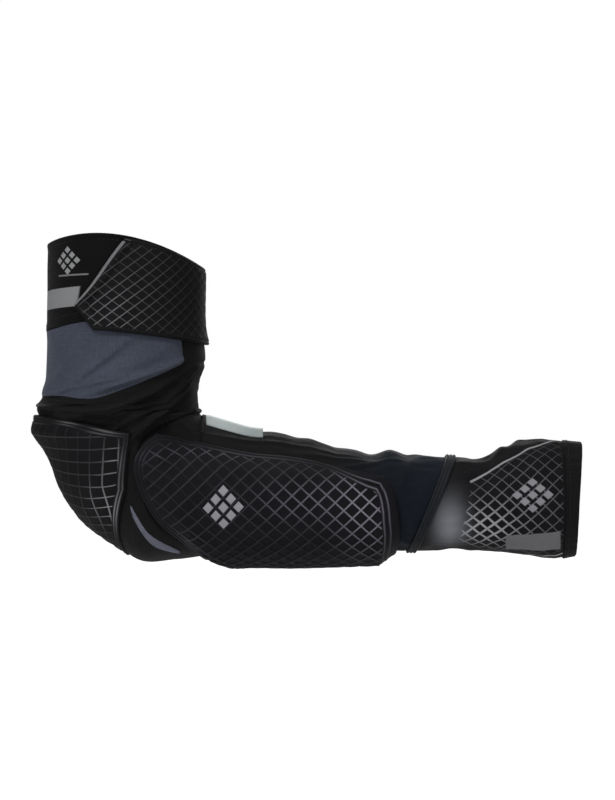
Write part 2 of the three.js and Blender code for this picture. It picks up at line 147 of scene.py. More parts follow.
# Shares of UPPER_WIDTH, but depth is a share of UPPER_DEPTH
UPPER_SECTIONS = table("at shift width depth", [
    (-0.2, 0.01, 0.957, 1),
    (0, 0.01, 0.957, 1),
    (0.25, 0.012, 0.96, 1),
    (0.5, 0.011, 0.965, 1),
    (0.62, -0.002, 0.99, 1),
    (0.71, -0.001, 0.995, 0.99),
    (0.84, 0.02, 0.978, 0.975),
    (0.92, 0.037, 0.99, 0.965),
    (1, 0.05, 1.022, 0.955),
])
BEND_SECTIONS = table("at width depth", [
    (0.09, 1.06, 1.03),
    (0.18, 0.985, 1.01),
    (0.33, 0.985, 1),
    (0.5, 1, 0.99),
    (0.64, 1.065, 0.98),
    (0.75, 1.092, 0.97),
    (0.87, 1.03, 0.955),
])
# Shares of FOREARM_HEIGHT, but depth is a share of FOREARM_DEPTH
FOREARM_SECTIONS = table("at drop height depth", [
    (0, 0.057, 1.171, 1.06),
    (0.12, 0.093, 1.02, 1.03),
    (0.229, 0.114, 0.971, 1),
    (0.341, 0.15, 0.886, 0.95),
    (0.452, 0.179, 0.829, 0.87),
    (0.563, 0.197, 0.821, 0.79),
    (0.675, 0.196, 0.785, 0.73),
    (0.73, 0.211, 0.784, 0.7),
    (0.8, 0.172, 0.885, 0.68),
    (0.875, 0.149, 0.99, 0.65),
    (0.942, 0.164, 1.018, 0.62),
    (1, 0.159, 0.965, 0.61),
    (1.1, 0.161, 0.93, 0.61),
])


def curve(rows):
    """A smooth curve through a table's rows: it is read by their first column and gives the others."""
    rows = np.array([list(row) for row in rows], float)
    keys, values = rows[:, 0], rows[:, 1:]
    last = len(keys) - 1

    def read(where):
        where = np.clip(np.asarray(where, float), keys[0], keys[-1])
        after = np.clip(np.searchsorted(keys, where, side="right"), 1, last)
        before = after - 1
        span = keys[after] - keys[before]
        earlier = np.where(before > 0, before - 1, after)
        later = np.where(after < last, after + 1, before)
        pull_back = span / 2 / (keys[before] - keys[earlier])
        pull_on = span / 2 / (keys[later] - keys[after])
        p = (where - keys[before]) / span
        weights = (
            -pull_back * p**3 + 2 * pull_back * p**2 - pull_back * p,
            (1 + pull_back) * p**3 - (1.5 + 2 * pull_back) * p**2 + (pull_back - 0.5) * p + 1,
            -(1 + pull_on) * p**3 + (1.5 + pull_on) * p**2 + 0.5 * p,
            pull_on * (p**3 - p**2),
        )
        corners = (values[earlier], values[before], values[after], values[later])
        return sum(weight[..., None] * corner for weight, corner in zip(weights, corners))

    return read


def sleeve_sections():
    """The sections as rows of place, centre x and z, turn of the outer side, width and depth."""
    rows = []
    for s in UPPER_SECTIONS:
        centre = (-s.shift * UPPER_WIDTH, UPPER_RISE - s.at * UPPER_RUN)
        rows.append((s.at, *centre, -math.pi / 2, s.width * UPPER_WIDTH, s.depth * UPPER_DEPTH))
    for s in BEND_SECTIONS:
        turn = (s.at - 1) * math.pi / 2
        swing = CROOK_RADIUS + s.width * ELBOW_WIDTH / 2
        centre = (CROOK_X + swing * math.sin(turn), CROOK_Z - swing * math.cos(turn))
        rows.append((1 + s.at, *centre, turn, s.width * ELBOW_WIDTH, s.depth * ELBOW_DEPTH))
    for s in FOREARM_SECTIONS:
        centre = (CROOK_X + s.at * FOREARM_RUN, -s.drop * FOREARM_HEIGHT)
        rows.append((2 + s.at, *centre, 0, s.height * FOREARM_HEIGHT, s.depth * FOREARM_DEPTH))
    return rows


section = curve(sleeve_sections())

# Folds: place, then length across the arm, width along it and height as shares of a fold's own sizes, with
# its lean in degrees. A steep fold falls off faster below, as cloth does where it laps over itself.
FOLD_LENGTH, FOLD_WIDTH, FOLD_HEIGHT = 0.040, 0.004, 0.003
Fold = namedtuple("Fold", "along round length width lean height steep", defaults=(1,))
MAIN_FOLDS = [
    Fold(0.93, 60, 1, 0.8, 8, 0.6),
    Fold(1.0, 75, 0.65, 0.75, -6, 0.8),
    Fold(0.95, -65, 1, 1, 8, 0.7),
    Fold(0.62, 62, 0.75, 1.125, -38, 0.45),
    Fold(0.78, 85, 0.8, 1.125, -30, 0.5),
    Fold(0.82, 165, 0.55, 1.25, 0, -0.4),
    Fold(1.08, 118, 0.65, 1, 10, 0.6),
    Fold(2.18, 170, 0.55, 2.25, 0, 0.5),
    Fold(2.28, 170, 0.5, 1.5, 0, 0.4),
    Fold(2.35, 165, 0.6, 1, 0, -0.3),
    Fold(2.44, 172, 0.6, 1.5, 0, -0.7),
    Fold(2.495, 170, 0.55, 1.5, 0, 1),
    Fold(2.54, 172, 0.55, 0.875, 0, -0.3),
    Fold(2.79, 176, 0.45, 0.875, 0, 0.5),
    Fold(2.84, 190, 0.45, 1, 12, 0.5),
]


def fold_lift(folds, along, round_):
    """How far folds lift the cloth at places on the sleeve."""
    run = np.where(along < 1, UPPER_RUN, np.where(along < 2, BEND_RUN, FOREARM_RUN))
    lift = np.zeros_like(along)
    for fold in folds:
        down = (along - fold.along) * run
        across = np.radians((round_ - fold.round + 180) % 360 - 180) * UPPER_WIDTH / 2
        lean = math.radians(fold.lean)
        ridge = (down * math.cos(lean) - across * math.sin(lean)) / (fold.width * FOLD_WIDTH)
        ridge = np.where(ridge > 0, ridge / fold.steep, ridge)
        length = (down * math.sin(lean) + across * math.cos(lean)) / (fold.length * FOLD_LENGTH)
        lift += fold.height * np.exp(-(ridge**2) - length**2)
    return lift * FOLD_HEIGHT


def skin(along, round_, out):
    """Points at places on the sleeve, out metres above the cloth's outer face."""
    x, z, turn, width, depth = np.moveaxis(section(along), -1, 0)
    lift = out + fold_lift(MAIN_FOLDS, along, round_)
    across = (width / 2 + lift) * np.cos(np.radians(round_))
    aside = (depth / 2 + lift) * np.sin(np.radians(round_))
    return np.stack([x + across * np.sin(turn), -aside, z - across * np.cos(turn)], axis=-1)


def smooth(share):
    share = np.clip(share, 0, 1)
    return share * share * (3 - 2 * share)


def mix(a, b, share):
    return a + (b - a) * share


def bell(off):
    """1 at no distance, falling to nothing past 2."""
    return np.exp(-(off**2))


def near_edges(down, head, tail):
    """Near 1 at a cloth's first and last edge, where its seams hold it down."""
    return bell(down / head) + bell((1 - down) / tail)


def mirrored(folds):
    """The folds and their like on the arm's far side."""
    return folds + [fold._replace(round=-fold.round, lean=-fold.lean) for fold in folds]


TURN_LENGTH = 0.276  # the way round that the cloth's flat pattern counts: a whole number of stitches


def flat_place(along, round_):
    """A place on the sleeve laid flat: metres round from the outer side, and metres down from the rim."""
    down = np.where(along < 1, along * UPPER_RUN, UPPER_RUN + (along - 1) * BEND_RUN)
    down = np.where(along < 2, down, UPPER_RUN + BEND_RUN + (along - 2) * FOREARM_RUN)
    return np.stack([np.asarray(round_) / 360 * TURN_LENGTH, down], axis=-1)


def crumple(along, round_, size_along, size_round, height, seed):
    """Small uneven wrinkles of worn cloth, which run on past the seam behind the arm."""
    flat = flat_place(along, round_)
    reach = TURN_LENGTH / (2 * math.pi) / size_round
    turn = np.radians(round_)
    points = zip(flat[:, 1] / size_along, np.cos(turn) * reach + seed, np.sin(turn) * reach)
    return height * np.array([noise.noise(Vector(point)) for point in points])


def add_piece(name, bm, material):
    """One piece of the guard from a finished bmesh."""
    piece = bpy.data.objects.new(name, bpy.data.meshes.new(name))
    bm.to_mesh(piece.data)
    bm.free()
    piece.data.shade_smooth()
    piece.data.materials.append(material)
    bpy.context.scene.collection.objects.link(piece)
    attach(piece, "root")
    return piece


def lay(bm, place, layers):
    """Lays a bmesh made in shares on the arm. place gives its points, and flat places for each layer."""
    shares = np.array([vert.co for vert in bm.verts])
    points, flats = place(*shares.T)
    for layer, flat in zip(layers, flats):
        uv = bm.loops.layers.uv.new(layer)
        for face in bm.faces:
            for loop in face.loops:
                loop[uv].uv = flat[loop.vert.index]
    for vert, point in zip(bm.verts, points):
        vert.co = point


def share_grid(steps, turns):
    """A flat grid of shares from 0 to 1, x along the arm and y round it, which faces out once it is laid."""
    bm = bmesh.new()
    bmesh.ops.create_grid(bm, x_segments=steps, y_segments=turns, size=0.5)
    bmesh.ops.translate(bm, verts=bm.verts, vec=(0.5, 0.5, 0))
    bm.verts.index_update()
    return bm


def give_wall(piece, wall, edge):
    """Thickens a laid cloth inwards and rounds its cut edges."""
    shell = piece.modifiers.new("wall", "SOLIDIFY")
    shell.thickness = wall
    shell.offset = -1
    rim = piece.modifiers.new("edge", "BEVEL")
    rim.width = edge
    rim.segments = 2
    rim.limit_method = "ANGLE"
    rim.angle_limit = math.radians(50)


def cloth_band(name, start, stop, steps, turns, wall, out, material, relief, extra=None):
    """A closed band of cloth between two edges. extra names more flat layers, each with its rule."""
    extra = extra or {}

    def place(down, across, layer):
        round_ = mix(-180, 180, across)
        along = mix(start(round_), stop(round_), down)
        flats = [rule(along, round_) for rule in extra.values()]
        return skin(along, round_, out + relief(along, round_, down)), [flat_place(along, round_), *flats]

    bm = share_grid(steps, turns)
    lay(bm, place, ["cloth", *extra])
    bmesh.ops.remove_doubles(bm, verts=bm.verts, dist=1e-6)
    piece = add_piece(name, bm, material)
    give_wall(piece, wall, wall * 0.3)
    return piece


def wire(tree, made, inputs):
    """Wires a node's inputs, or sets those that are plain values."""
    for key, value in inputs.items():
        if isinstance(value, bpy.types.NodeSocket):
            tree.links.new(value, made.inputs[key])
        else:
            made.inputs[key].default_value = value


def add(tree, kind, inputs=None, out=0, **settings):
    """Adds a node with its settings and inputs, and gives one output."""
    made = tree.nodes.new(kind)
    for setting, value in settings.items():
        setattr(made, setting, value)
    wire(tree, made, inputs or {})
    return made.outputs[out]


def maths(tree, operation, a, b=0.0, c=0.0):
    return add(tree, "ShaderNodeMath", {0: a, 1: b, 2: c}, operation=operation)


def ranged(tree, value, low, high):
    """A value's share of the way from low to high, kept from 0 to 1."""
    return add(tree, "ShaderNodeMapRange", {"Value": value, "From Min": low, "From Max": high})


def parts_of(tree, vector):
    """A vector's x, y and z."""
    split = tree.nodes.new("ShaderNodeSeparateXYZ")
    tree.links.new(vector, split.inputs[0])
    return split.outputs


def blend_colour(tree, share, a, b):
    a, b = [(*colour, 1) if isinstance(colour, tuple) else colour for colour in (a, b)]
    return add(tree, "ShaderNodeMix", {0: share, 6: a, 7: b}, out=2, data_type="RGBA")


def new_group(name, inputs, outputs):
    """A node group with named inputs and outputs."""
    tree = bpy.data.node_groups.new(name, "ShaderNodeTree")
    for label, kind in inputs:
        tree.interface.new_socket(label, in_out="INPUT", socket_type=kind)
    for label, kind in outputs:
        tree.interface.new_socket(label, in_out="OUTPUT", socket_type=kind)
    return tree, tree.nodes.new("NodeGroupInput").outputs, tree.nodes.new("NodeGroupOutput").inputs


def place_group(tree, group, inputs, out=0):
    return add(tree, "ShaderNodeGroup", inputs, out, node_tree=group)


def knit_group():
    """The face of a fine knit: columns of stitches shaped like a V, from flat places in metres."""
    inputs = [("Flat", "NodeSocketVector"), ("Stitch", "NodeSocketFloat")]
    tree, given, gives = new_group("knit", inputs, [("Height", "NodeSocketFloat")])
    count = maths(tree, "DIVIDE", 1.0, given["Stitch"])
    cells = parts_of(tree, add(tree, "ShaderNodeVectorMath", {0: given["Flat"], 3: count}, operation="SCALE"))
    column = maths(tree, "ABSOLUTE", maths(tree, "SUBTRACT", maths(tree, "FRACT", cells[0]), 0.5))
    row = maths(tree, "FRACT", maths(tree, "MULTIPLY_ADD", cells[1], 1.3, column))
    loop = maths(tree, "SINE", maths(tree, "MULTIPLY", row, math.pi))
    side = maths(tree, "SINE", maths(tree, "MULTIPLY", column, 2 * math.pi))
    tree.links.new(maths(tree, "MULTIPLY", loop, side), gives["Height"])
    return tree


KNIT = knit_group()


def cloud(tree, place, scale, detail):
    return add(tree, "ShaderNodeTexNoise", {"Vector": place, "Scale": scale, "Detail": detail})


def patchy_group():
    """Uneven tone of worn cloth: broad soft patches with a fine fleck over them."""
    inputs = [("Place", "NodeSocketVector"), ("Scale", "NodeSocketFloat")]
    tree, given, gives = new_group("patchy", inputs, [("Tone", "NodeSocketFloat")])
    broad = cloud(tree, given["Place"], given["Scale"], 3.0)
    fine = cloud(tree, given["Place"], maths(tree, "MULTIPLY", given["Scale"], 30.0), 2.0)
    tone = maths(tree, "MULTIPLY_ADD", fine, 0.4, maths(tree, "MULTIPLY", broad, 0.6))
    tree.links.new(ranged(tree, tone, 0.35, 0.65), gives["Tone"])
    return tree


PATCHY = patchy_group()


def patchy_tone(tree, scale):
    where = add(tree, "ShaderNodeTexCoord", out="Object")
    return place_group(tree, PATCHY, {"Place": where, "Scale": scale})


def flat_map(tree, layer):
    return add(tree, "ShaderNodeUVMap", uv_map=layer)


def knitted(tree, stitch):
    return place_group(tree, KNIT, {"Flat": flat_map(tree, "cloth"), "Stitch": stitch})


def give_face(tree, shader, colour, height, strength, distance):
    """Gives a shader its colour, and its fine relief as a bump."""
    bump = add(tree, "ShaderNodeBump", {"Height": height, "Strength": strength, "Distance": distance})
    wire(tree, shader, {"Base Color": colour, "Normal": bump})


def new_finish(name, roughness, specular, sheen, sheen_tint=(1, 1, 1)):
    """A finish to fill in: the material, its nodes and its shader."""
    finish = bpy.data.materials.new(name)
    finish.use_nodes = True
    shader = finish.node_tree.nodes["Principled BSDF"]
    shader.inputs["Roughness"].default_value = roughness
    shader.inputs["Specular IOR Level"].default_value = specular
    shader.inputs["Sheen Weight"].default_value = sheen
    shader.inputs["Sheen Roughness"].default_value = 0.5
    shader.inputs["Sheen Tint"].default_value = (*sheen_tint, 1)
    return finish, finish.node_tree, shader


def stretch_knit(
    name, dark, light, stitch, roughness=0.75, specular=0.12, sheen=0.05, bump=0.3, patch=45.0
):
    """Stretch cloth: a fine knit with uneven tone."""
    finish, tree, shader = new_finish(name, roughness, specular, sheen)
    knit = knitted(tree, stitch)
    shade = maths(tree, "MULTIPLY_ADD", knit, 0.35, maths(tree, "MULTIPLY", patchy_tone(tree, patch), 0.65))
    give_face(tree, shader, blend_colour(tree, shade, dark, light), knit, bump, stitch * 0.3)
    return finish


def thread_finish(name, dark, light):
    """Wound sewing thread, flecked along its length."""
    finish, tree, shader = new_finish(name, 0.6, 0.2, 0.1)
    tone = patchy_tone(tree, 300.0)
    give_face(tree, shader, blend_colour(tree, tone, dark, light), tone, 0.3, 0.0001)
    return finish


BLACK_THREAD = thread_finish("black_thread", (0.006, 0.006, 0.007), (0.022, 0.022, 0.026))
THREAD_RADIUS = 0.00025


def stitches(name, along, round_, height, pitch, material=BLACK_THREAD, share=0.7):
    """A row of raised stitches along a line of places on the arm, each one covering a share of its pitch."""
    fine = skin(along, round_, height)
    reach = np.concatenate([[0], np.cumsum(np.linalg.norm(np.diff(fine, axis=0), axis=1))])
    marks = np.linspace(0, reach[-1], max(2, round(reach[-1] / pitch) + 1))
    along, round_ = np.interp(marks, reach, along), np.interp(marks, reach, round_)
    here, above = skin(along, round_, height), skin(along, round_, height + 0.001)
    bm = bmesh.new()
    for index in range(len(here) - 1):
        run = Vector(here[index + 1] - here[index])
        side = Vector(above[index] - here[index]).cross(run).normalized() * THREAD_RADIUS
        up = run.cross(side).normalized() * THREAD_RADIUS
        turn = Matrix((run * share / 2, side, up)).transposed().to_4x4()
        middle = Matrix.Translation(Vector((here[index] + here[index + 1]) / 2))
        bmesh.ops.create_icosphere(bm, subdivisions=1, radius=1, matrix=middle @ turn)
    return add_piece(name, bm, material)


ALL_ROUND = np.linspace(-180, 180, 361)

# Cloth edges that neighbours share, read by the degrees away from the outer side
PANEL_EDGE = table("round along", [
    (0, 0.92),
    (50, 0.915),
    (75, 0.93),
    (97, 0.869),
    (119, 0.792),
    (140, 0.721),
    (180, 0.7),
])
CREASE = table("round along", [
    (0, 2.02),
    (30, 1.98),
    (60, 1.79),
    (78, 1.56),
    (95, 1.33),
    (110, 1.225),
    (127, 1.192),
    (153, 1.158),
    (180, 1.15),
])
panel_curve, crease_curve = curve(PANEL_EDGE), curve(CREASE)


def panel_edge(round_):
    return panel_curve(np.abs((round_ + 180) % 360 - 180))[..., 0]


def crease_edge(round_):
    return crease_curve(np.abs(round_))[..., 0]


BLACK_KNIT = stretch_knit("black_knit", (0.0045, 0.0045, 0.005), (0.0085, 0.0085, 0.0095), 0.0012)

CREASE_HALF = 0.0008 / BEND_RUN
ELBOW_FOLDS = mirrored([
    Fold(0.942, 40, 0.8, 0.45, 5, 1.0, 0.3),
    Fold(0.965, 62, 0.7, 0.4, -4, 0.8, 0.3),
    Fold(0.99, 38, 0.8, 0.4, 3, 0.9, 0.3),
    Fold(1.005, 84, 0.7, 0.45, -8, 1.0, 0.35),
    Fold(1.055, 104, 0.5, 0.45, -20, 1.0, 0.35),
    Fold(0.955, 100, 0.5, 0.5, -24, 0.9, 0.4),
    Fold(0.91, 112, 0.6, 0.5, -30, 0.8, 0.4),
    Fold(1.01, 126, 0.6, 0.5, -34, 1.0, 0.4),
    Fold(0.86, 142, 0.5, 0.7, -38, 0.7, 0.5),
    Fold(1.12, 112, 0.6, 0.6, -28, 1.1, 0.45),
    Fold(1.07, 76, 0.4, 0.4, 12, 0.7, 0.4),
    Fold(1.68, 26, 0.8, 2.2, 0, 0.6),
])


def in_crook(along, round_):
    """From 0 to 1 where the cloth is pinched smooth in the inside corner of the bend."""
    aside = np.abs((round_ + 180) % 360 - 180)
    return smooth((aside - 125) / 30) * smooth((along - 0.9) / 0.1) * smooth((2.12 - along) / 0.1)


CREASE_DIP, CREASE_REACH = 0.0028, 0.0032
SEAM_DIP = 0.0006
ELBOW_TAIL = 0.03  # share of the elbow sleeve's run that is tucked under the forearm sleeve


def crease_dip(along, round_):
    """The cloth draws in along the crease between the elbow and the forearm, below the crook."""
    aside = np.abs(round_)
    off = (along - crease_edge(round_)) * BEND_RUN / CREASE_REACH
    return CREASE_DIP * bell(off) * smooth((aside - 88) / 15) * smooth((172 - aside) / 25)


def elbow_relief(along, round_, down):
    folds = fold_lift(ELBOW_FOLDS, along, round_)
    broad = crumple(along, round_, 0.008, 0.03, 0.0009, 3)
    wrinkles = broad + crumple(along, round_, 0.0035, 0.014, 0.0004, 7)
    near_seam = near_edges(down, 0.05, ELBOW_TAIL)
    sunk = SEAM_DIP * (near_seam + bell((1 - down) / ELBOW_TAIL))
    gathered = 1 - 0.8 * smooth((along - 1.15) / 0.2)
    loose = (1 - near_seam) * (1 - in_crook(along, round_))
    return (folds + wrinkles * gathered) * loose - sunk - crease_dip(along, round_)


elbow_sleeve = cloth_band(
    "elbow_sleeve_knit",
    panel_edge,
    lambda round_: crease_edge(round_) + CREASE_HALF,
    130, 280, SLEEVE_WALL, 0, BLACK_KNIT, elbow_relief,
)
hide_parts("elbow_sleeve")

# Gussets
# A narrow crescent of slate cloth let into each side of the elbow sleeve between the two pads, with a corded
# black edge. It gives the sleeve room to open as the elbow bends.
GUSSET_WIDTH, GUSSET_WALL = 0.0043, 0.0012
GUSSET_LINE = table("at along round", [
    (0, 1.585, 60),
    (0.5, 1.735, 48),
    (1, 1.885, 30),
])
gusset_curve = curve(GUSSET_LINE)
PIPING = 0.8  # share of the gusset's width where its black cord starts


def slate_rib():
    """Slate cloth beside a black cord, told apart by the share of the gusset's width."""
    finish = stretch_knit("slate_rib", (0.1, 0.104, 0.135), (0.19, 0.195, 0.25), 0.0009, 0.7, 0.2, 0.1)
    tree = finish.node_tree
    shader = tree.nodes["Principled BSDF"]
    cord = ranged(tree, parts_of(tree, flat_map(tree, "share"))[1], PIPING - 0.03, PIPING + 0.03)
    cloth = shader.inputs["Base Color"].links[0].from_socket
    tree.links.new(blend_colour(tree, cord, cloth, (0.005, 0.005, 0.006)), shader.inputs["Base Color"])
    return finish


SLATE_RIB = slate_rib()


def boxed(steps, turns, cuts=0):
    """A closed slab of shares: a grid extruded upwards, whose upper face may be cut finer."""
    bm = share_grid(steps, turns)
    raised = bmesh.ops.extrude_face_region(bm, geom=bm.faces[:], use_keep_orig=True)["geom"]
    lifted = [item for item in raised if isinstance(item, bmesh.types.BMVert)]
    bmesh.ops.translate(bm, verts=lifted, vec=(0, 0, 1))
    bmesh.ops.recalc_face_normals(bm, faces=bm.faces)
    if cuts:
        upper = [edge for edge in bm.edges if min(vert.co.z for vert in edge.verts) > 0.5]
        bmesh.ops.subdivide_edges(bm, edges=upper, cuts=cuts, use_grid_fill=True)
    bm.verts.index_update()
    return bm


def gusset(name, side, node):
    """A crescent with a rounded face, whose knit runs along it."""

    def place(down, across, layer):
        line = gusset_curve(down)
        width = GUSSET_WIDTH * np.sqrt(np.maximum(0.06, 1 - (2 * down - 1) ** 2))
        aside = (across - 0.5) * width
        along = line[:, 0] - aside / BEND_RUN
        round_ = side * (line[:, 1] - np.degrees(aside / ELBOW_DEPTH))
        crown = np.sqrt(np.maximum(0, 1 - (2 * across - 1) ** 2 * 0.8))
        groove = 0.4 * np.exp(-(((across - PIPING) / 0.05) ** 2))
        flats = [flat_place(along, round_), np.stack([down, across], axis=-1)]
        return skin(along, round_, GAP + layer * GUSSET_WALL * (crown - groove)), flats

    bm = boxed(60, 20)
    if side < 0:
        bmesh.ops.reverse_faces(bm, faces=bm.faces)
    lay(bm, place, ["cloth", "share"])
    piece = add_piece(name, bm, SLATE_RIB)
    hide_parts(node)
    return piece


gussets = [gusset("gusset_near_rib", 1, "gusset_near"), gusset("gusset_far_rib", -1, "gusset_far")]

# Forearm sleeve
# The same stretch cloth in a blue black, from the crease at the elbow to the flatlock seam at the wrist cuff.
# It wrinkles along its top, between the long pad and the tag.
SEAM_PLACE, SEAM_SLANT = 0.605, 0.012
NAVY_FROM, NAVY_TO = 0.12, 0.17      # metres along the forearm where the black turns to navy


def navy_knit():
    """Stretch knit dyed from black at the crook to a deep navy at the wrist."""
    finish = stretch_knit("navy_knit", (0.004, 0.0065, 0.011), (0.008, 0.0125, 0.02), 0.0011, 0.7, 0.1, 0.05)
    tree = finish.node_tree
    shader = tree.nodes["Principled BSDF"]
    where = parts_of(tree, add(tree, "ShaderNodeTexCoord", out="Object"))
    share = ranged(tree, where[0], NAVY_FROM, NAVY_TO)
    navy = shader.inputs["Base Color"].links[0].from_socket
    tree.links.new(blend_colour(tree, share, (0.006, 0.006, 0.0068), navy), shader.inputs["Base Color"])
    return finish


NAVY_KNIT = navy_knit()
FOREARM_FOLDS = mirrored([
    Fold(1.9, 148, 0.9, 0.7, 78, 0.35, 0.6),
    Fold(2.06, 143, 1.1, 0.6, 84, 0.4, 0.5),
    Fold(2.2, 148, 0.9, 0.8, 86, 0.35, 0.6),
    Fold(2.33, 140, 0.7, 0.7, 80, 0.3, 0.6),
    Fold(2.43, 138, 0.5, 0.7, 60, 0.35, 0.6),
    Fold(2.53, 125, 0.6, 0.7, 14, 0.3, 0.6),
    Fold(2.55, 70, 0.5, 0.8, -16, 0.3, 0.6),
    Fold(2.53, 40, 0.6, 0.7, -30, 0.3, 0.6),
])


def seam_edge(round_):
    return 2 + SEAM_PLACE - SEAM_SLANT * np.cos(np.radians(round_)) / FOREARM_RUN


def forearm_relief(along, round_, down):
    folds = fold_lift(FOREARM_FOLDS, along, round_)
    broad = crumple(along, round_, 0.02, 0.011, 0.0008, 11)
    wrinkles = broad + crumple(along, round_, 0.008, 0.005, 0.0003, 17)
    near_seam = near_edges(down, 0.02, 0.02)
    loose = (1 - near_seam) * (1 - in_crook(along, round_))
    return (folds + wrinkles) * loose - 0.0005 * near_seam - crease_dip(along, round_)


forearm_sleeve = cloth_band(
    "forearm_sleeve_knit",
    lambda round_: crease_edge(round_) - CREASE_HALF / 2,
    lambda round_: seam_edge(round_) - GAP / FOREARM_RUN,
    170, 240, SLEEVE_WALL, 0, NAVY_KNIT, forearm_relief,
)
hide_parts("forearm_sleeve")

# Slate panel and front panel
# Below the cuff the upper arm is covered by a slate panel of fine mesh knit, and in the crook by a black one.
# They are sewn to the elbow sleeve and to each other.
CUFF_HEIGHT, CUFF_EDGE_DIP = 0.0475, 0.0032
PANEL_SIDE = 139                     # degrees to the seams between the two panels
PANEL_STITCH_IN = 0.0018
STITCH_PITCH = 0.0026
SLATE_FOLDS = mirrored([
    Fold(0.774, 67, 0.7, 0.9, -38, 0.9, 0.5),
    Fold(0.785, 112, 0.8, 0.6, -20, 0.9, 0.4),
    Fold(0.865, 60, 0.8, 0.5, -12, 0.5, 0.5),
    Fold(0.7, 84, 0.5, 1.4, -34, -0.5),
    Fold(0.7, 110, 0.6, 1.0, -30, 0.3),
    Fold(0.6, 35, 0.6, 1.2, 24, 0.3),
])


def cuff_edge(round_):
    return (CUFF_HEIGHT + CUFF_EDGE_DIP * np.cos(np.radians(2 * round_))) / UPPER_RUN


def slate_mesh():
    """Slate mesh knit: streaks of lighter and darker yarn along the arm, with rows of small holes."""
    finish, tree, shader = new_finish("slate_mesh_knit", 0.72, 0.2, 0.12, (0.8, 0.86, 1))
    knit = knitted(tree, 0.0013)
    streaked, crossed = [
        add(tree, "ShaderNodeMapping", {"Vector": flat_map(tree, "cloth"), "Scale": scale})
        for scale in ((900.0, 160.0, 1.0), (120.0, 700.0, 1.0))
    ]
    streaks, rows = cloud(tree, streaked, 1.0, 3.0), cloud(tree, crossed, 1.0, 2.0)
    yarn = maths(tree, "MULTIPLY_ADD", rows, 0.4, maths(tree, "MULTIPLY", streaks, 0.6))
    shade = maths(tree, "MULTIPLY_ADD", patchy_tone(tree, 30.0), 0.25, maths(tree, "MULTIPLY", yarn, 0.75))
    colour = blend_colour(tree, shade, (0.02, 0.025, 0.038), (0.095, 0.105, 0.145))
    height = maths(tree, "MULTIPLY_ADD", knit, 0.7, streaks)
    give_face(tree, shader, colour, height, 0.35, 0.0004)
    return finish


def cloth_under_cuff(name, first, last, turns, folds, material, node):
    """A panel of cloth between the cuff's lower edge and the elbow sleeve, over part of the way round."""

    def place(down, across, layer):
        round_ = mix(first, last, across)
        along = mix(cuff_edge(round_) + GAP / UPPER_RUN, panel_edge(round_), down)
        near_seam = bell((1 - down) / 0.04) + bell(np.minimum(across, 1 - across) / 0.008)
        wrinkles = crumple(along, round_, 0.012, 0.03, 0.0006, 23)
        lift = fold_lift(folds, along, round_) + wrinkles * (1 - near_seam) - 0.0005 * near_seam
        return skin(along, round_, lift), [flat_place(along, round_)]

    bm = share_grid(44, turns)
    lay(bm, place, ["cloth"])
    piece = add_piece(name, bm, material)
    give_wall(piece, SLEEVE_WALL, SLEEVE_WALL * 0.3)
    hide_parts(node)
    return piece


side_gap = math.degrees(GAP / (UPPER_WIDTH / 2))
front_start = PANEL_SIDE + side_gap
slate_panel = cloth_under_cuff(
    "slate_panel", -PANEL_SIDE, PANEL_SIDE, 220, SLATE_FOLDS, slate_mesh(), "upper_panel"
)
panel_row = np.linspace(-PANEL_SIDE, PANEL_SIDE, 280)
stitch_line = panel_edge(panel_row) - PANEL_STITCH_IN / UPPER_RUN
panel_stitches = stitches("slate_panel_stitches", stitch_line, panel_row, -0.0002, STITCH_PITCH)
front_panel = cloth_under_cuff(
    "front_panel_knit", front_start, 360 - front_start, 64, [], BLACK_KNIT, "front_panel"
)

# Upper cuff
# A wide smooth band of thick black elastic that grips the upper arm, with a turned lower hem. It carries a
# small printed ornament of diamonds and a bare slanted plate in pale grey.
CUFF_WALL = 0.0022
RIM_TILT, RIM_DIP = 0.0062, 0.0048
HEM_STITCH_IN, RIM_STITCH_IN = 0.0055, 0.0035
CUFF_PITCH, CUFF_STITCH_RISE = 0.0027, 0.0002


def rim_edge(round_):
    turn = np.radians(round_)
    return -(RIM_TILT * np.cos(turn) - RIM_DIP * np.cos(2 * turn)) / UPPER_RUN


def cuff_relief(along, round_, down):
    flat_part = smooth((down - 0.03) / 0.03) * (1 - smooth((down - 0.9) / 0.03))
    return crumple(along, round_, 0.02, 0.05, 0.0003, 31) - 0.0004 * flat_part


def unrolled(along, round_):
    """The sleeve laid flat as it looks from the near side, its lengths round the arm kept."""
    x, z, turn, width, depth = np.moveaxis(section(along), -1, 0)
    reach = (width + depth) / 4 * np.radians(90 - round_)
    return np.stack([x + reach * np.sin(turn), z - reach * np.cos(turn)], axis=-1)


def laid_spots(places):
    """Flat spots, in metres, of places given as pairs of along and degrees round."""
    along, round_ = np.array(places, float).T
    return unrolled(along, round_)


def vectors(tree, operation, a, b, out=0):
    return add(tree, "ShaderNodeVectorMath", {0: a, 1: b}, out=out, operation=operation)


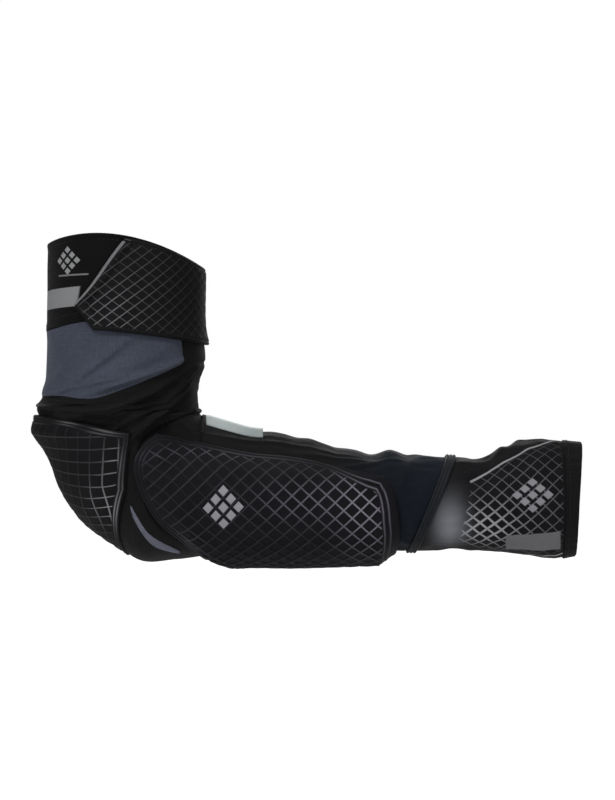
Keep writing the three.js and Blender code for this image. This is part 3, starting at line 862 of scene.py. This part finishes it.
def stroke_group():
    """A straight printed stroke with round ends, between two flat spots."""
    tree, given, gives = new_group(
        "stroke",
        [("Flat", "NodeSocketVector"), ("From", "NodeSocketVector"), ("To", "NodeSocketVector"),
         ("Half", "NodeSocketFloat")],
        [("Mask", "NodeSocketFloat")],
    )
    run = vectors(tree, "SUBTRACT", given["To"], given["From"])
    off = vectors(tree, "SUBTRACT", given["Flat"], given["From"])
    ahead = vectors(tree, "DOT_PRODUCT", off, run, 1)
    whole = vectors(tree, "DOT_PRODUCT", run, run, 1)
    share = add(tree, "ShaderNodeMath", {0: ahead, 1: whole}, operation="DIVIDE", use_clamp=True)
    nearest = add(tree, "ShaderNodeVectorMath", {0: run, 3: share}, operation="SCALE")
    far = vectors(tree, "DISTANCE", off, nearest, 1)
    outer = maths(tree, "ADD", given["Half"], 0.0002)
    tree.links.new(ranged(tree, far, outer, given["Half"]), gives["Mask"])
    return tree


def cells_group():
    """Printed four-sided cells in rows about a middle spot, each filled up to a share of its half width."""
    tree, given, gives = new_group(
        "cells",
        [("Flat", "NodeSocketVector"), ("Middle", "NodeSocketVector"), ("First", "NodeSocketVector"),
         ("Second", "NodeSocketVector"), ("Count", "NodeSocketFloat"), ("Fill", "NodeSocketFloat")],
        [("Mask", "NodeSocketFloat")],
    )
    off = vectors(tree, "SUBTRACT", given["Flat"], given["Middle"])
    whole, part = [], []
    for axis in ("First", "Second"):
        place = vectors(tree, "DOT_PRODUCT", off, given[axis], 1)
        whole.append(maths(tree, "ABSOLUTE", place))
        shifted = maths(tree, "FRACT", maths(tree, "ADD", place, 0.5))
        part.append(maths(tree, "ABSOLUTE", maths(tree, "SUBTRACT", shifted, 0.5)))
    inside = maths(tree, "LESS_THAN", maths(tree, "MAXIMUM", *whole), given["Count"])
    outer = maths(tree, "ADD", given["Fill"], 0.03)
    filled = ranged(tree, maths(tree, "MAXIMUM", *part), outer, given["Fill"])
    tree.links.new(maths(tree, "MULTIPLY", inside, filled), gives["Mask"])
    return tree


STROKE, CELLS = stroke_group(), cells_group()


def stroke(tree, flat, spots, half):
    ends = {"From": (*spots[0], 0), "To": (*spots[1], 0)}
    return place_group(tree, STROKE, {"Flat": flat, "Half": half, **ends})


def cells(tree, flat, middle, side, rise, count, fill):
    """Printed cells whose sides run along two flat steps, count of them each way."""
    first, second = np.linalg.inv(np.stack([side, rise], axis=1))
    axes = {"Middle": (*middle, 0), "First": (*first, 0), "Second": (*second, 0)}
    return place_group(tree, CELLS, {"Flat": flat, "Count": count / 2, "Fill": fill, **axes})


def plate(tree, flat, spots):
    """One filled cell with four flat corners, given in order round it."""
    side = (spots[1] + spots[2] - spots[0] - spots[3]) / 2
    rise = (spots[2] + spots[3] - spots[0] - spots[1]) / 2
    return cells(tree, flat, spots.mean(axis=0), side, rise, 1, 0.47)


def ornament(tree, flat, spot, size):
    """Nine small diamonds, three by three, about a flat spot. size is one diamond's width and height."""
    side, rise = (size[0] / 2, size[1] / 2), (size[0] / 2, -size[1] / 2)
    return cells(tree, flat, spot, side, rise, 3, 0.33)


def paint_masks_on(finish, inks):
    """Lays masks in their own colours over a finish's cloth: print, and on the wrist cuff a painted sheen and
    painted highlight too.
    """
    tree = finish.node_tree
    shader = tree.nodes["Principled BSDF"]
    colour = shader.inputs["Base Color"].links[0].from_socket
    for mask, ink in inks:
        colour = blend_colour(tree, mask, colour, ink)
    tree.links.new(colour, shader.inputs["Base Color"])


CUFF_PLATE = laid_spots([(0.272, -8), (0.263, 63), (0.369, 57), (0.41, -8)])
CUFF_LINE = laid_spots([(0.19, 38), (0.186, 67)])
CUFF_ORNAMENT = laid_spots([(0.1, 48)])[0]


def cuff_elastic():
    dark, light = (0.003, 0.003, 0.0034), (0.0058, 0.0058, 0.0065)
    finish = stretch_knit("cuff_elastic_knit", dark, light, 0.0015, 0.8, 0.08)
    tree = finish.node_tree
    flat = flat_map(tree, "print")
    paint_masks_on(finish, [
        (plate(tree, flat, CUFF_PLATE), (0.28, 0.28, 0.285)),
        (stroke(tree, flat, CUFF_LINE, 0.0004), (0.2, 0.2, 0.205)),
        (ornament(tree, flat, CUFF_ORNAMENT, (0.0074, 0.0062)), (0.32, 0.32, 0.325)),
    ])
    return finish


cuff = cloth_band(
    "upper_cuff_elastic", rim_edge, cuff_edge, 70, 260, CUFF_WALL, CUFF_WALL - SLEEVE_WALL,
    cuff_elastic(), cuff_relief, {"print": unrolled},
)
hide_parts("upper_cuff")
cuff_rows = {
    "cuff_hem_stitches": cuff_edge(ALL_ROUND) - HEM_STITCH_IN / UPPER_RUN,
    "cuff_rim_stitches": rim_edge(ALL_ROUND) + RIM_STITCH_IN / UPPER_RUN,
}
cuff_stitches = [
    stitches(name, row, ALL_ROUND, CUFF_STITCH_RISE, CUFF_PITCH) for name, row in cuff_rows.items()
]

# Upper strap
# A wide black strap, moulded with thin raised diamonds, is sewn to the cuff on the far side, wraps the front
# of the arm and ends in a slanted free end bound in grey satin.
STRAP_WALL, STRAP_INSET = 0.0024, 0.0015
STRAP_DROP, STRAP_TILT, STRAP_DIP = 0.0529, 0.0046, 0.0009
STRAP_WIDTH = STRAP_DROP - STRAP_INSET  # at its middle, before the rim and the tilt change it
STRAP_WRAP, STRAP_START = 235, 84
STRAP_DIAMOND = (0.0081, 0.0064)
STRAP_RIB = 0.0003
BINDING_WIDTH = 0.0018
STRAP_END = table("across back", [
    (0, -11),
    (0.17, -3),
    (0.52, 13),
    (0.64, 20),
    (0.74, 26),
    (0.83, 21.5),
    (1, 11),
])
strap_end = curve(STRAP_END)
STRAP_BASE = CUFF_WALL - SLEEVE_WALL + GAP


def diamonds(flat, size):
    """Lattice places of a diamond pattern, whole numbers on its falling and on its rising lines."""
    across, up = flat[:, 0] / size[0], flat[:, 1] / size[1]
    return np.stack([across + up, across - up], axis=-1)


def ribs(lattice, half):
    """Height from 0 to 1 of raised lines along the whole numbers of a lattice."""
    near = np.abs(lattice - np.round(lattice)) / half
    return smooth(1 - near).max(axis=-1)


def lines_group():
    """Masks of the lines on a lattice's whole numbers: all of them, and the rising ones alone."""
    tree, given, gives = new_group(
        "lattice_lines",
        [("Lattice", "NodeSocketVector"), ("Half", "NodeSocketFloat"), ("Soft", "NodeSocketFloat")],
        [("Lines", "NodeSocketFloat"), ("Rising", "NodeSocketFloat")],
    )
    lattice = parts_of(tree, given["Lattice"])
    outer = maths(tree, "ADD", given["Half"], given["Soft"])
    masks = []
    for axis in (0, 1):
        shifted = maths(tree, "FRACT", maths(tree, "ADD", lattice[axis], 0.5))
        near = maths(tree, "ABSOLUTE", maths(tree, "SUBTRACT", shifted, 0.5))
        limits = {"Value": near, 1: outer, 2: given["Half"], 3: 0.0, 4: 1.0}
        masks.append(add(tree, "ShaderNodeMapRange", limits, interpolation_type="SMOOTHSTEP"))
    tree.links.new(maths(tree, "MAXIMUM", *masks), gives["Lines"])
    tree.links.new(masks[1], gives["Rising"])
    return tree


LINES = lines_group()


def give_values(piece, name, values):
    """Keeps one value for each corner point, for the finish to read."""
    kept = piece.data.attributes.new(name, "FLOAT", "POINT")
    kept.data.foreach_set("value", np.asarray(values, dtype=np.float32))


def kept_value(tree, name):
    return add(tree, "ShaderNodeAttribute", attribute_name=name, out=2)


def moulded_strap():
    """Black webbing moulded with raised diamonds, bound in satin at its free end; the lines' paleness is
    painted highlight.
    """
    finish, tree, shader = new_finish("strap_webbing_moulded", 0.65, 0.12, 0.02)
    pattern = {"Lattice": flat_map(tree, "lattice"), "Half": 0.03, "Soft": 0.045}
    lines, rising = [place_group(tree, LINES, pattern, out) for out in (0, 1)]
    # Painted highlight: the rising lines are painted paler than the falling ones.
    strong = maths(tree, "MULTIPLY_ADD", rising, 0.55, maths(tree, "MULTIPLY", lines, 0.45))
    share = maths(tree, "MULTIPLY", strong, kept_value(tree, "glow"))
    weave = knitted(tree, 0.0008)
    ground = blend_colour(tree, weave, (0.004, 0.004, 0.0045), (0.009, 0.009, 0.010))
    give_face(tree, shader, blend_colour(tree, share, ground, (0.19, 0.19, 0.2)), weave, 0.25, 0.0002)
    end = flat_map(tree, "print")
    satin = [(BINDING_WIDTH / 2, 0.003), (BINDING_WIDTH / 2, 0.72 * STRAP_WIDTH)]
    paint_masks_on(finish, [(stroke(tree, end, satin, BINDING_WIDTH / 2), (0.2, 0.2, 0.205))])
    return finish


def strap_edge(round_):
    turn = np.radians(round_)
    return (STRAP_DROP - STRAP_TILT * np.cos(turn) + STRAP_DIP * np.cos(2 * turn)) / UPPER_RUN


def strap_place(down, across):
    """Places on the strap by shares of its width and of its length, from the free end."""
    start = STRAP_START - strap_end(down)[..., 0]
    round_ = mix(start, STRAP_START + STRAP_WRAP, across)
    return mix(rim_edge(round_) + STRAP_INSET / UPPER_RUN, strap_edge(round_), down), round_


# A spot of painted light: its place, its reach each way, and its strength.
LightSpot = namedtuple("LightSpot", "along round reach_x reach_z share")


def glow_at(flat, spots, base):
    """Strength of painted light, highlight and sheen alike, at flat places: broad soft spots over a base."""
    total = np.full(len(flat), float(base))
    for spot in spots:
        off = flat - laid_spots([(spot.along, spot.round)])
        total += spot.share * bell(off[:, 0] / spot.reach_x) * bell(off[:, 1] / spot.reach_z)
    return np.clip(total, 0, 1)


# Spots of painted highlight on the strap's raised lines.
STRAP_HIGHLIGHT_SPOTS = [
    LightSpot(0.43, 84, 0.014, 0.016, 0.8),
    LightSpot(0.3, 105, 0.02, 0.03, 0.3),
]


def build_strap():
    values = {}

    def place(down, across, layer):
        along, round_ = strap_place(down, across)
        flat = unrolled(along, round_)
        lattice = diamonds(flat, STRAP_DIAMOND)
        from_end = across * (STRAP_WRAP + strap_end(down)[..., 0]) / 360 * TURN_LENGTH
        edge = np.minimum(np.minimum(down, 1 - down) * STRAP_WIDTH, from_end)
        inside = smooth((edge - 0.0022) / 0.0006)
        rounding = 0.0008 * (1 - smooth(edge / 0.0012))
        stitched = 0.0004 * bell((edge - 0.0021) / 0.0005)
        puckers = crumple(along, round_, 0.004, 0.004, 0.0009, 53) * bell((from_end - 0.006) / 0.004)
        pleat = bell((from_end - 0.0062 - 0.002 * down) / 0.0013) * smooth(down / 0.1)
        relief = STRAP_WALL + STRAP_RIB * ribs(lattice, 0.12) * inside - rounding - stitched
        relief += crumple(along, round_, 0.03, 0.03, 0.0006, 51) * smooth(edge / 0.01)
        relief += puckers - 0.0013 * pleat * smooth((0.95 - down) / 0.2)
        # Painted highlight: how pale the raised lines are painted, spot by spot.
        values["glow"] = glow_at(flat, STRAP_HIGHLIGHT_SPOTS, 0.12) * inside
        out = STRAP_BASE + np.where(layer > 0.5, relief, 0)
        ends = np.stack([from_end, down * STRAP_WIDTH], axis=-1)
        return skin(along, round_, out), [flat_place(along, round_), lattice, ends]

    bm = boxed(30, 130, 2)
    lay(bm, place, ["cloth", "lattice", "print"])
    piece = add_piece("upper_strap_moulded", bm, moulded_strap())
    give_values(piece, "glow", values["glow"])
    return piece


strap = build_strap()
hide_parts("upper_strap")
GREY_THREAD = thread_finish("grey_thread", (0.1, 0.1, 0.105), (0.2, 0.2, 0.21))
strap_row = np.linspace(0.03, 0.99, 240)
for label, down in (("upper", 0.042), ("lower", 0.958)):
    along, round_ = strap_place(np.full_like(strap_row, down), strap_row)
    height = STRAP_BASE + STRAP_WALL - 0.0003
    stitches(f"strap_{label}_stitches", along, round_, height, STITCH_PITCH)
tack_across = np.linspace(0.002, 0.022, 20)
along, round_ = strap_place(np.full_like(tack_across, 0.02), tack_across)
stitches("strap_bar_tack", along, round_, STRAP_BASE + STRAP_WALL, 0.0009, GREY_THREAD, 0.95)

# Elbow pad
# A thick cap of moulded foam under black cloth, pressed with a square grid, thin at its sewn rim and crowned
# over the point of the elbow.
PAD_RAMP_ROUND, PAD_CROWN = 0.13, 0.16
ELBOW_PAD_HEAD, ELBOW_PAD_TAIL = 0.1, 0.36
ELBOW_PAD_THICKNESS, ELBOW_PAD_EDGE = 0.012, 0.003
GRID_CELL = 0.0068
PAD_RIB, PAD_ROUNDING = 0.00045, 0.0016
RIM_HEIGHT, RIM_HALF = 0.0004, 0.0004
ELBOW_PAD_SIDES = table("at low high", [
    (0, -92, 92),
    (0.4, -85, 85),
    (0.66, -78, 78),
    (1, -66, 66),
])
ELBOW_PAD_ENDS = table("at start stop", [
    (0, 1.19, 1.5),
    (0.14, 1.075, 1.56),
    (0.27, 1.037, 1.615),
    (0.5, 1.02, 1.69),
    (0.73, 1.037, 1.615),
    (0.86, 1.075, 1.56),
    (1, 1.19, 1.5),
])


def foam_finish(name, cell, line, half):
    """Cloth laminated foam: a near black ground with paler raised lines where the mould pressed them, their
    paleness painted highlight.
    """
    finish, tree, shader = new_finish(name, 0.62, 0.13, 0.02)
    pattern = {"Lattice": flat_map(tree, "lattice"), "Half": half, "Soft": half}
    lines, rising = [place_group(tree, LINES, pattern, out) for out in (0, 1)]
    inside, rim, glow = [kept_value(tree, label) for label in ("inside", "rim", "glow")]
    # Painted highlight: lines and rims are painted pale by the highlight spots, and the rising lines faintly
    # pale everywhere.
    raised = maths(tree, "MAXIMUM", maths(tree, "MULTIPLY", lines, inside), rim)
    faint = maths(tree, "MULTIPLY", maths(tree, "MULTIPLY", rising, inside), 0.1)
    share = maths(tree, "MAXIMUM", maths(tree, "MULTIPLY", raised, glow), faint)
    weave = knitted(tree, 0.0009)
    tone = patchy_tone(tree, 60.0)
    cloudy = maths(tree, "MULTIPLY_ADD", tone, 0.7, maths(tree, "MULTIPLY", weave, 0.3))
    dark, light = [tuple(part * tone_share for part in cell) for tone_share in (0.6, 1.5)]
    ground = blend_colour(tree, cloudy, dark, light)
    give_face(tree, shader, blend_colour(tree, share, ground, line), weave, 0.2, 0.0002)
    rough = maths(tree, "SUBTRACT", 0.66, maths(tree, "MULTIPLY", raised, 0.16))
    tree.links.new(rough, shader.inputs["Roughness"])
    return finish


# A ridge beside a pad's edge: how far in it lies, there and at the pad's tail. One may be at the head alone.
Rim = namedtuple("Rim", "inset tail_inset only_head", defaults=(False,))

# A pad's own form. bare is how far in its lattice starts, low_rib how much higher its lines are low down;
# spots and base give the painted highlight on its lines.
Pad = namedtuple(
    "Pad", "sides ends thickness edge head tail steps turns lattice_of rims bare spots base low_rib"
)


def foam_pad(name, node, pad, foam):
    """A pad with a thin rim, ramping up to a crowned face that carries the mould's raised lines."""
    reach, run = curve(pad.sides), curve(pad.ends)
    values = {}

    def spot(down, across):
        low, high = np.moveaxis(reach(down), -1, 0)
        start, stop = np.moveaxis(run(across), -1, 0)
        return mix(start, stop, down), mix(low, high, across)

    around = np.linspace(0, 1, 600)
    border_down = np.concatenate([around * 0, around * 0 + 1, around, around])
    border_across = np.concatenate([around, around, around * 0, around * 0 + 1])
    border = skin(*spot(border_down, border_across), 0)
    tree = kdtree.KDTree(len(border))
    for index, point in enumerate(border):
        tree.insert(point, index)
    tree.balance()

    def place(down, across, layer):
        along, round_ = spot(down, across)
        bare_face = skin(along, round_, 0)
        inset = np.array([tree.find(point)[2] for point in bare_face])
        from_end = np.minimum(down / pad.head, (1 - down) / pad.tail)
        ramp = smooth(np.minimum(from_end, np.minimum(across, 1 - across) / PAD_RAMP_ROUND))
        crown = 1 - PAD_CROWN * (2 * down - 1) ** 2 - PAD_CROWN * (2 * across - 1) ** 2
        height = mix(pad.edge, pad.thickness * crown, ramp)
        corner = 1 - np.clip(inset / PAD_ROUNDING, 0, 1)
        height -= PAD_ROUNDING * (1 - np.sqrt(np.clip(1 - corner**2, 0, 1)))
        at_tail = smooth((down - 0.84) / 0.1)
        at_head = 1 - smooth((down - 0.05) / 0.06)
        ridge = 0
        for rim in pad.rims:
            line = mix(rim.inset, rim.tail_inset, at_tail)
            share = at_head if rim.only_head else 1
            ridge = np.maximum(ridge, share * bell((inset - line) / RIM_HALF))
        flat = unrolled(along, np.abs(round_))
        lattice = pad.lattice_of(flat)
        inside = smooth((inset - mix(pad.bare.inset, pad.bare.tail_inset, at_tail)) / 0.0008)
        rib = PAD_RIB + pad.low_rib * smooth((-0.022 - flat[:, 1]) / 0.012)
        raised = np.maximum(ribs(lattice, 0.09) * inside * rib, ridge * RIM_HEIGHT)
        # The painted highlight: how pale the lines and rims are painted, spot by spot.
        values.update(glow=glow_at(flat, pad.spots, pad.base), rim=ridge, inside=inside)
        out = GAP + np.where(layer > 0.5, height + raised, 0)
        return skin(along, round_, out), [flat_place(along, round_), lattice, flat]

    bm = boxed(pad.steps, pad.turns, 3)
    lay(bm, place, ["cloth", "lattice", "print"])
    piece = add_piece(name, bm, foam)
    for label, kept in values.items():
        give_values(piece, label, kept)
    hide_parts(node)


def squares(flat):
    return flat / GRID_CELL


# Spots of painted highlight on the elbow pad's lines.
ELBOW_HIGHLIGHT_SPOTS = [
    LightSpot(1.5, 48, 0.009, 0.015, 0.9),
    LightSpot(1.33, 73, 0.004, 0.010, 0.6),
    LightSpot(1.045, 58, 0.006, 0.003, 0.6),
    LightSpot(1.12, 80, 0.007, 0.003, 0.7),
]
ELBOW_RIMS = [Rim(0.0011, 0.0011), Rim(0.0027, 0.0027)]
elbow_foam = foam_finish("elbow_foam", (0.006, 0.006, 0.007), (0.33, 0.33, 0.35), 0.035)
foam_pad("elbow_pad_foam", "elbow_pad", Pad(
    ELBOW_PAD_SIDES, ELBOW_PAD_ENDS, ELBOW_PAD_THICKNESS, ELBOW_PAD_EDGE, ELBOW_PAD_HEAD, ELBOW_PAD_TAIL,
    steps=45, turns=62, lattice_of=squares, rims=ELBOW_RIMS, bare=Rim(0.0036, 0.0036), spots=ELBOW_HIGHLIGHT_SPOTS,
    base=0.03, low_rib=0,
), elbow_foam)

# Forearm pad
# A long moulded foam pad over the forearm's near side, with raised diamonds, a double ridge round its sewn
# rim, and a silver ornament of small diamonds printed over the lattice.
FOREARM_PAD_THICKNESS, FOREARM_PAD_EDGE = 0.010, 0.0026
FOREARM_PAD_HEAD, FOREARM_PAD_TAIL = 0.16, 0.09
PAD_DIAMOND = (0.0100, 0.0077)
FOREARM_PAD_SIDES = table("at low high", [
    (0, -34, 111),
    (0.1, -36, 119),
    (0.25, -40, 126.5),
    (0.42, -44, 130),
    (0.6, -45, 128),
    (0.75, -45, 128.5),
    (0.88, -42, 127.5),
    (1, -38, 121),
])
FOREARM_PAD_ENDS = table("at start stop", [
    (0, 2.06, 2.475),
    (0.27, 2.0, 2.508),
    (0.42, 1.967, 2.512),
    (0.62, 1.83, 2.517),
    (0.72, 1.67, 2.513),
    (0.78, 1.47, 2.511),
    (0.9, 1.33, 2.5),
    (1, 1.29, 2.478),
])
# Spots of painted highlight on the forearm pad's lines.
FOREARM_HIGHLIGHT_SPOTS = [
    LightSpot(2.43, 84, 0.018, 0.022, 0.85),
    LightSpot(2.27, 88, 0.03, 0.010, 0.45),
    LightSpot(2.12, 124, 0.07, 0.004, 0.25),
    LightSpot(1.93, 50, 0.012, 0.008, 0.2),
]


def forearm_lattice(flat):
    return diamonds(flat, PAD_DIAMOND)


FOREARM_RIMS = [Rim(0.0006, 0.0055), Rim(0.0031, 0.0090), Rim(0.0052, 0.0120, True)]
FOREARM_ORNAMENT = laid_spots([(2.057, 79)])[0]
forearm_foam = foam_finish("forearm_foam", (0.006, 0.0056, 0.0075), (0.26, 0.245, 0.29), 0.045)
printed = flat_map(forearm_foam.node_tree, "print")
silver_cells = ornament(forearm_foam.node_tree, printed, FOREARM_ORNAMENT, (0.0088, 0.0078))
paint_masks_on(forearm_foam, [(silver_cells, (0.34, 0.34, 0.36))])
foam_pad("forearm_pad_foam", "forearm_pad", Pad(
    FOREARM_PAD_SIDES, FOREARM_PAD_ENDS, FOREARM_PAD_THICKNESS, FOREARM_PAD_EDGE, FOREARM_PAD_HEAD,
    FOREARM_PAD_TAIL, steps=85, turns=60, lattice_of=forearm_lattice, rims=FOREARM_RIMS,
    bare=Rim(0.0040, 0.0102), spots=FOREARM_HIGHLIGHT_SPOTS, base=0.025, low_rib=0.0008,
), forearm_foam)

# Wrist cuff
# A close cuff of thin stretch cloth printed with diamonds, joined to the forearm by a slanted flatlock seam
# and ended by a narrow turned hem.
HEM_WIDTH, HEM_WALL, HEM_TILT, HEM_DIP = 0.0085, 0.0022, 0.0018, 0.0008
HEM_START = 3 - HEM_WIDTH / FOREARM_RUN
WRIST_DIAMOND = (0.0086, 0.0070)
STRIPE_HALF = 0.0006
WRIST_PRINT = laid_spots([(2.672, 38), (2.707, 122), (2.953, 173), (2.955, 24), (2.811, -4)])
WRIST_PLATE = laid_spots([(2.797, 52), (2.948, 58), (2.951, 36), (2.802, 20)])
WRIST_ORNAMENT = laid_spots([(2.87, 94)])[0]
# Painted sheen: a grey patch painted into the cloth's colour where its gloss would reflect the light.
WRIST_PAINTED_SHEEN = [
    LightSpot(2.65, 62, 0.009, 0.015, 1.0),
]
# Painted highlight on the printed lattice lines, strongest at the lower left.
WRIST_LINE_HIGHLIGHTS = [
    LightSpot(2.74, 62, 0.02, 0.014, 0.9),
    LightSpot(2.86, 85, 0.03, 0.025, 0.25),
]


def wrist_painted_light(along, round_):
    """Strength of the painted grey sheen, and of the painted highlight on the printed lattice, which stays
    inside the print's border.
    """
    flat = unrolled(along, round_)
    following = np.roll(WRIST_PRINT, -1, axis=0)
    border = np.full(len(flat), 1.0)
    for start, stop in zip(WRIST_PRINT, following):
        run = stop - start
        off = flat - start
        aside = (off[:, 1] * run[0] - off[:, 0] * run[1]) / math.hypot(*run)
        border = np.minimum(border, -aside)
    inside = smooth(border / 0.001)
    return np.stack([glow_at(flat, WRIST_PAINTED_SHEEN, 0), glow_at(flat, WRIST_LINE_HIGHLIGHTS, 0.1) * inside], axis=-1)


def printed_knit():
    """Thin stretch cloth with a painted grey sheen, silver diamonds with painted highlight between two
    stripes, and a bare plate.
    """
    dark, light = (0.004, 0.004, 0.005), (0.0085, 0.0085, 0.01)
    finish = stretch_knit("printed_knit", dark, light, 0.001, 0.65, 0.1, 0.03)
    tree = finish.node_tree
    flat = flat_map(tree, "print")
    sheen_and_highlight = parts_of(tree, flat_map(tree, "tone"))
    half = maths(tree, "MULTIPLY_ADD", sheen_and_highlight[1], 0.09, 0.015)
    lines = place_group(tree, LINES, {"Lattice": flat_map(tree, "lattice"), "Half": half, "Soft": 0.03})
    silver = (0.36, 0.36, 0.38)
    # The first two layers are painted light: the painted grey sheen, then the lattice lines brightened by
    # painted highlight.
    paint_masks_on(finish, [
        (sheen_and_highlight[0], (0.24, 0.245, 0.27)),
        (maths(tree, "MULTIPLY", lines, sheen_and_highlight[1]), silver),
        (stroke(tree, flat, WRIST_PRINT[1:3], STRIPE_HALF), (0.32, 0.32, 0.33)),
        (stroke(tree, flat, (WRIST_PRINT[4], WRIST_PRINT[3]), STRIPE_HALF), silver),
        (plate(tree, flat, WRIST_PLATE), (0.17, 0.17, 0.18)),
        (ornament(tree, flat, WRIST_ORNAMENT, (0.0092, 0.0066)), (0.3, 0.3, 0.32)),
    ])
    return finish


def wrist_relief(along, round_, down):
    near_seam = near_edges(down, 0.05, 0.05)
    broad = crumple(along, round_, 0.012, 0.012, 0.0009, 41)
    wrinkles = broad + crumple(along, round_, 0.006, 0.007, 0.0004, 43)
    return wrinkles * (1 - near_seam) - 0.0004 * near_seam


wrist_cuff = cloth_band(
    "wrist_cuff_printed",
    lambda round_: seam_edge(round_) + GAP / FOREARM_RUN,
    lambda round_: np.full_like(round_, HEM_START - GAP / FOREARM_RUN),
    90, 220, SLEEVE_WALL, 0, printed_knit(), wrist_relief,
    {
        "print": unrolled,
        "lattice": lambda along, round_: diamonds(unrolled(along, round_), WRIST_DIAMOND),
        # The tone layer carries the painted sheen and painted highlight strengths.
        "tone": wrist_painted_light,
    },
)
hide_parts("wrist_cuff")


def hem_edge(round_):
    turn = np.radians(round_)
    return 3 - (HEM_TILT * np.cos(turn) - HEM_DIP * np.cos(2 * turn)) / FOREARM_RUN


wrist_hem = cloth_band(
    "wrist_hem_elastic",
    lambda round_: np.full_like(round_, HEM_START - 0.6 * GAP / FOREARM_RUN),
    hem_edge,
    14, 200, HEM_WALL, HEM_WALL - SLEEVE_WALL, BLACK_KNIT,
    lambda along, round_, down: crumple(along, round_, 0.02, 0.006, 0.0007, 47) - 0.0002,
)
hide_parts("wrist_hem")
HEM_STITCH_FROM, HEM_PITCH = 0.002, 0.0024
hem_row = np.full_like(ALL_ROUND, HEM_START + HEM_STITCH_FROM / FOREARM_RUN)
hem_stitches = stitches("wrist_hem_stitches", hem_row, ALL_ROUND, HEM_WALL - SLEEVE_WALL, HEM_PITCH)

# Flatlock seam
# Three raised ridges of overlocked thread lie over the joint of the forearm sleeve and the wrist cuff, which
# are sewn edge to edge. One short white tick of thread crosses its top.
SEAM_WIDTH, SEAM_BASE, SEAM_RIDGE = 0.006, 0.0005, 0.0007
SEAM_SINK = 0.0006                   # how far its underside lies in the joint
seam_half = SEAM_WIDTH / 2 / FOREARM_RUN
seam_thread = stretch_knit(
    "seam_thread_wound", (0.006, 0.007, 0.009), (0.02, 0.022, 0.027), 0.0006, 0.65, 0.15
)
wrist_seam = cloth_band(
    "wrist_seam_flatlock",
    lambda round_: seam_edge(round_) - seam_half,
    lambda round_: seam_edge(round_) + seam_half,
    18, 220, SEAM_BASE + SEAM_SINK, GAP + SEAM_BASE, seam_thread,
    lambda along, round_, down: SEAM_RIDGE * np.sin(3 * math.pi * down) ** 2,
)
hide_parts("wrist_seam")
seam_tick = stitches(
    "wrist_seam_tick", np.array([2.652, 2.649]), np.array([149.0, 158.0]), GAP + SEAM_BASE, 0.003,
    thread_finish("white_thread", (0.4, 0.4, 0.42), (0.6, 0.6, 0.62)), 0.9,
)

# Tag
# A small folded tag of pale satin, left bare, is caught in the sleeve's top seam and stands up along the
# forearm.
LABEL_LENGTH, LABEL_HEIGHT, LABEL_WALL = 0.033, 0.0072, 0.0008
LABEL_ROUND, LABEL_START = 154, 0.001
satin = stretch_knit(
    "label_satin_weave", (0.7, 0.77, 0.76), (0.82, 0.9, 0.89), 0.0004, 0.45, 0.4, 0.1, 0.15
)


def label_place(down, across, layer):
    along = 2 + (LABEL_START + down * LABEL_LENGTH) / FOREARM_RUN
    thick = math.degrees(LABEL_WALL / (FOREARM_DEPTH / 2))
    wave = 0.8 * np.sin(down * 5) * across
    round_ = LABEL_ROUND - (layer - 0.5) * thick + wave
    flat = np.stack([across * LABEL_HEIGHT, down * LABEL_LENGTH], axis=-1)
    return skin(along, round_, mix(0.0008, LABEL_HEIGHT, across)), [flat]


bm = boxed(40, 10)
lay(bm, label_place, ["cloth"])
tag = add_piece("care_tag_satin", bm, satin)
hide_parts("care_label")
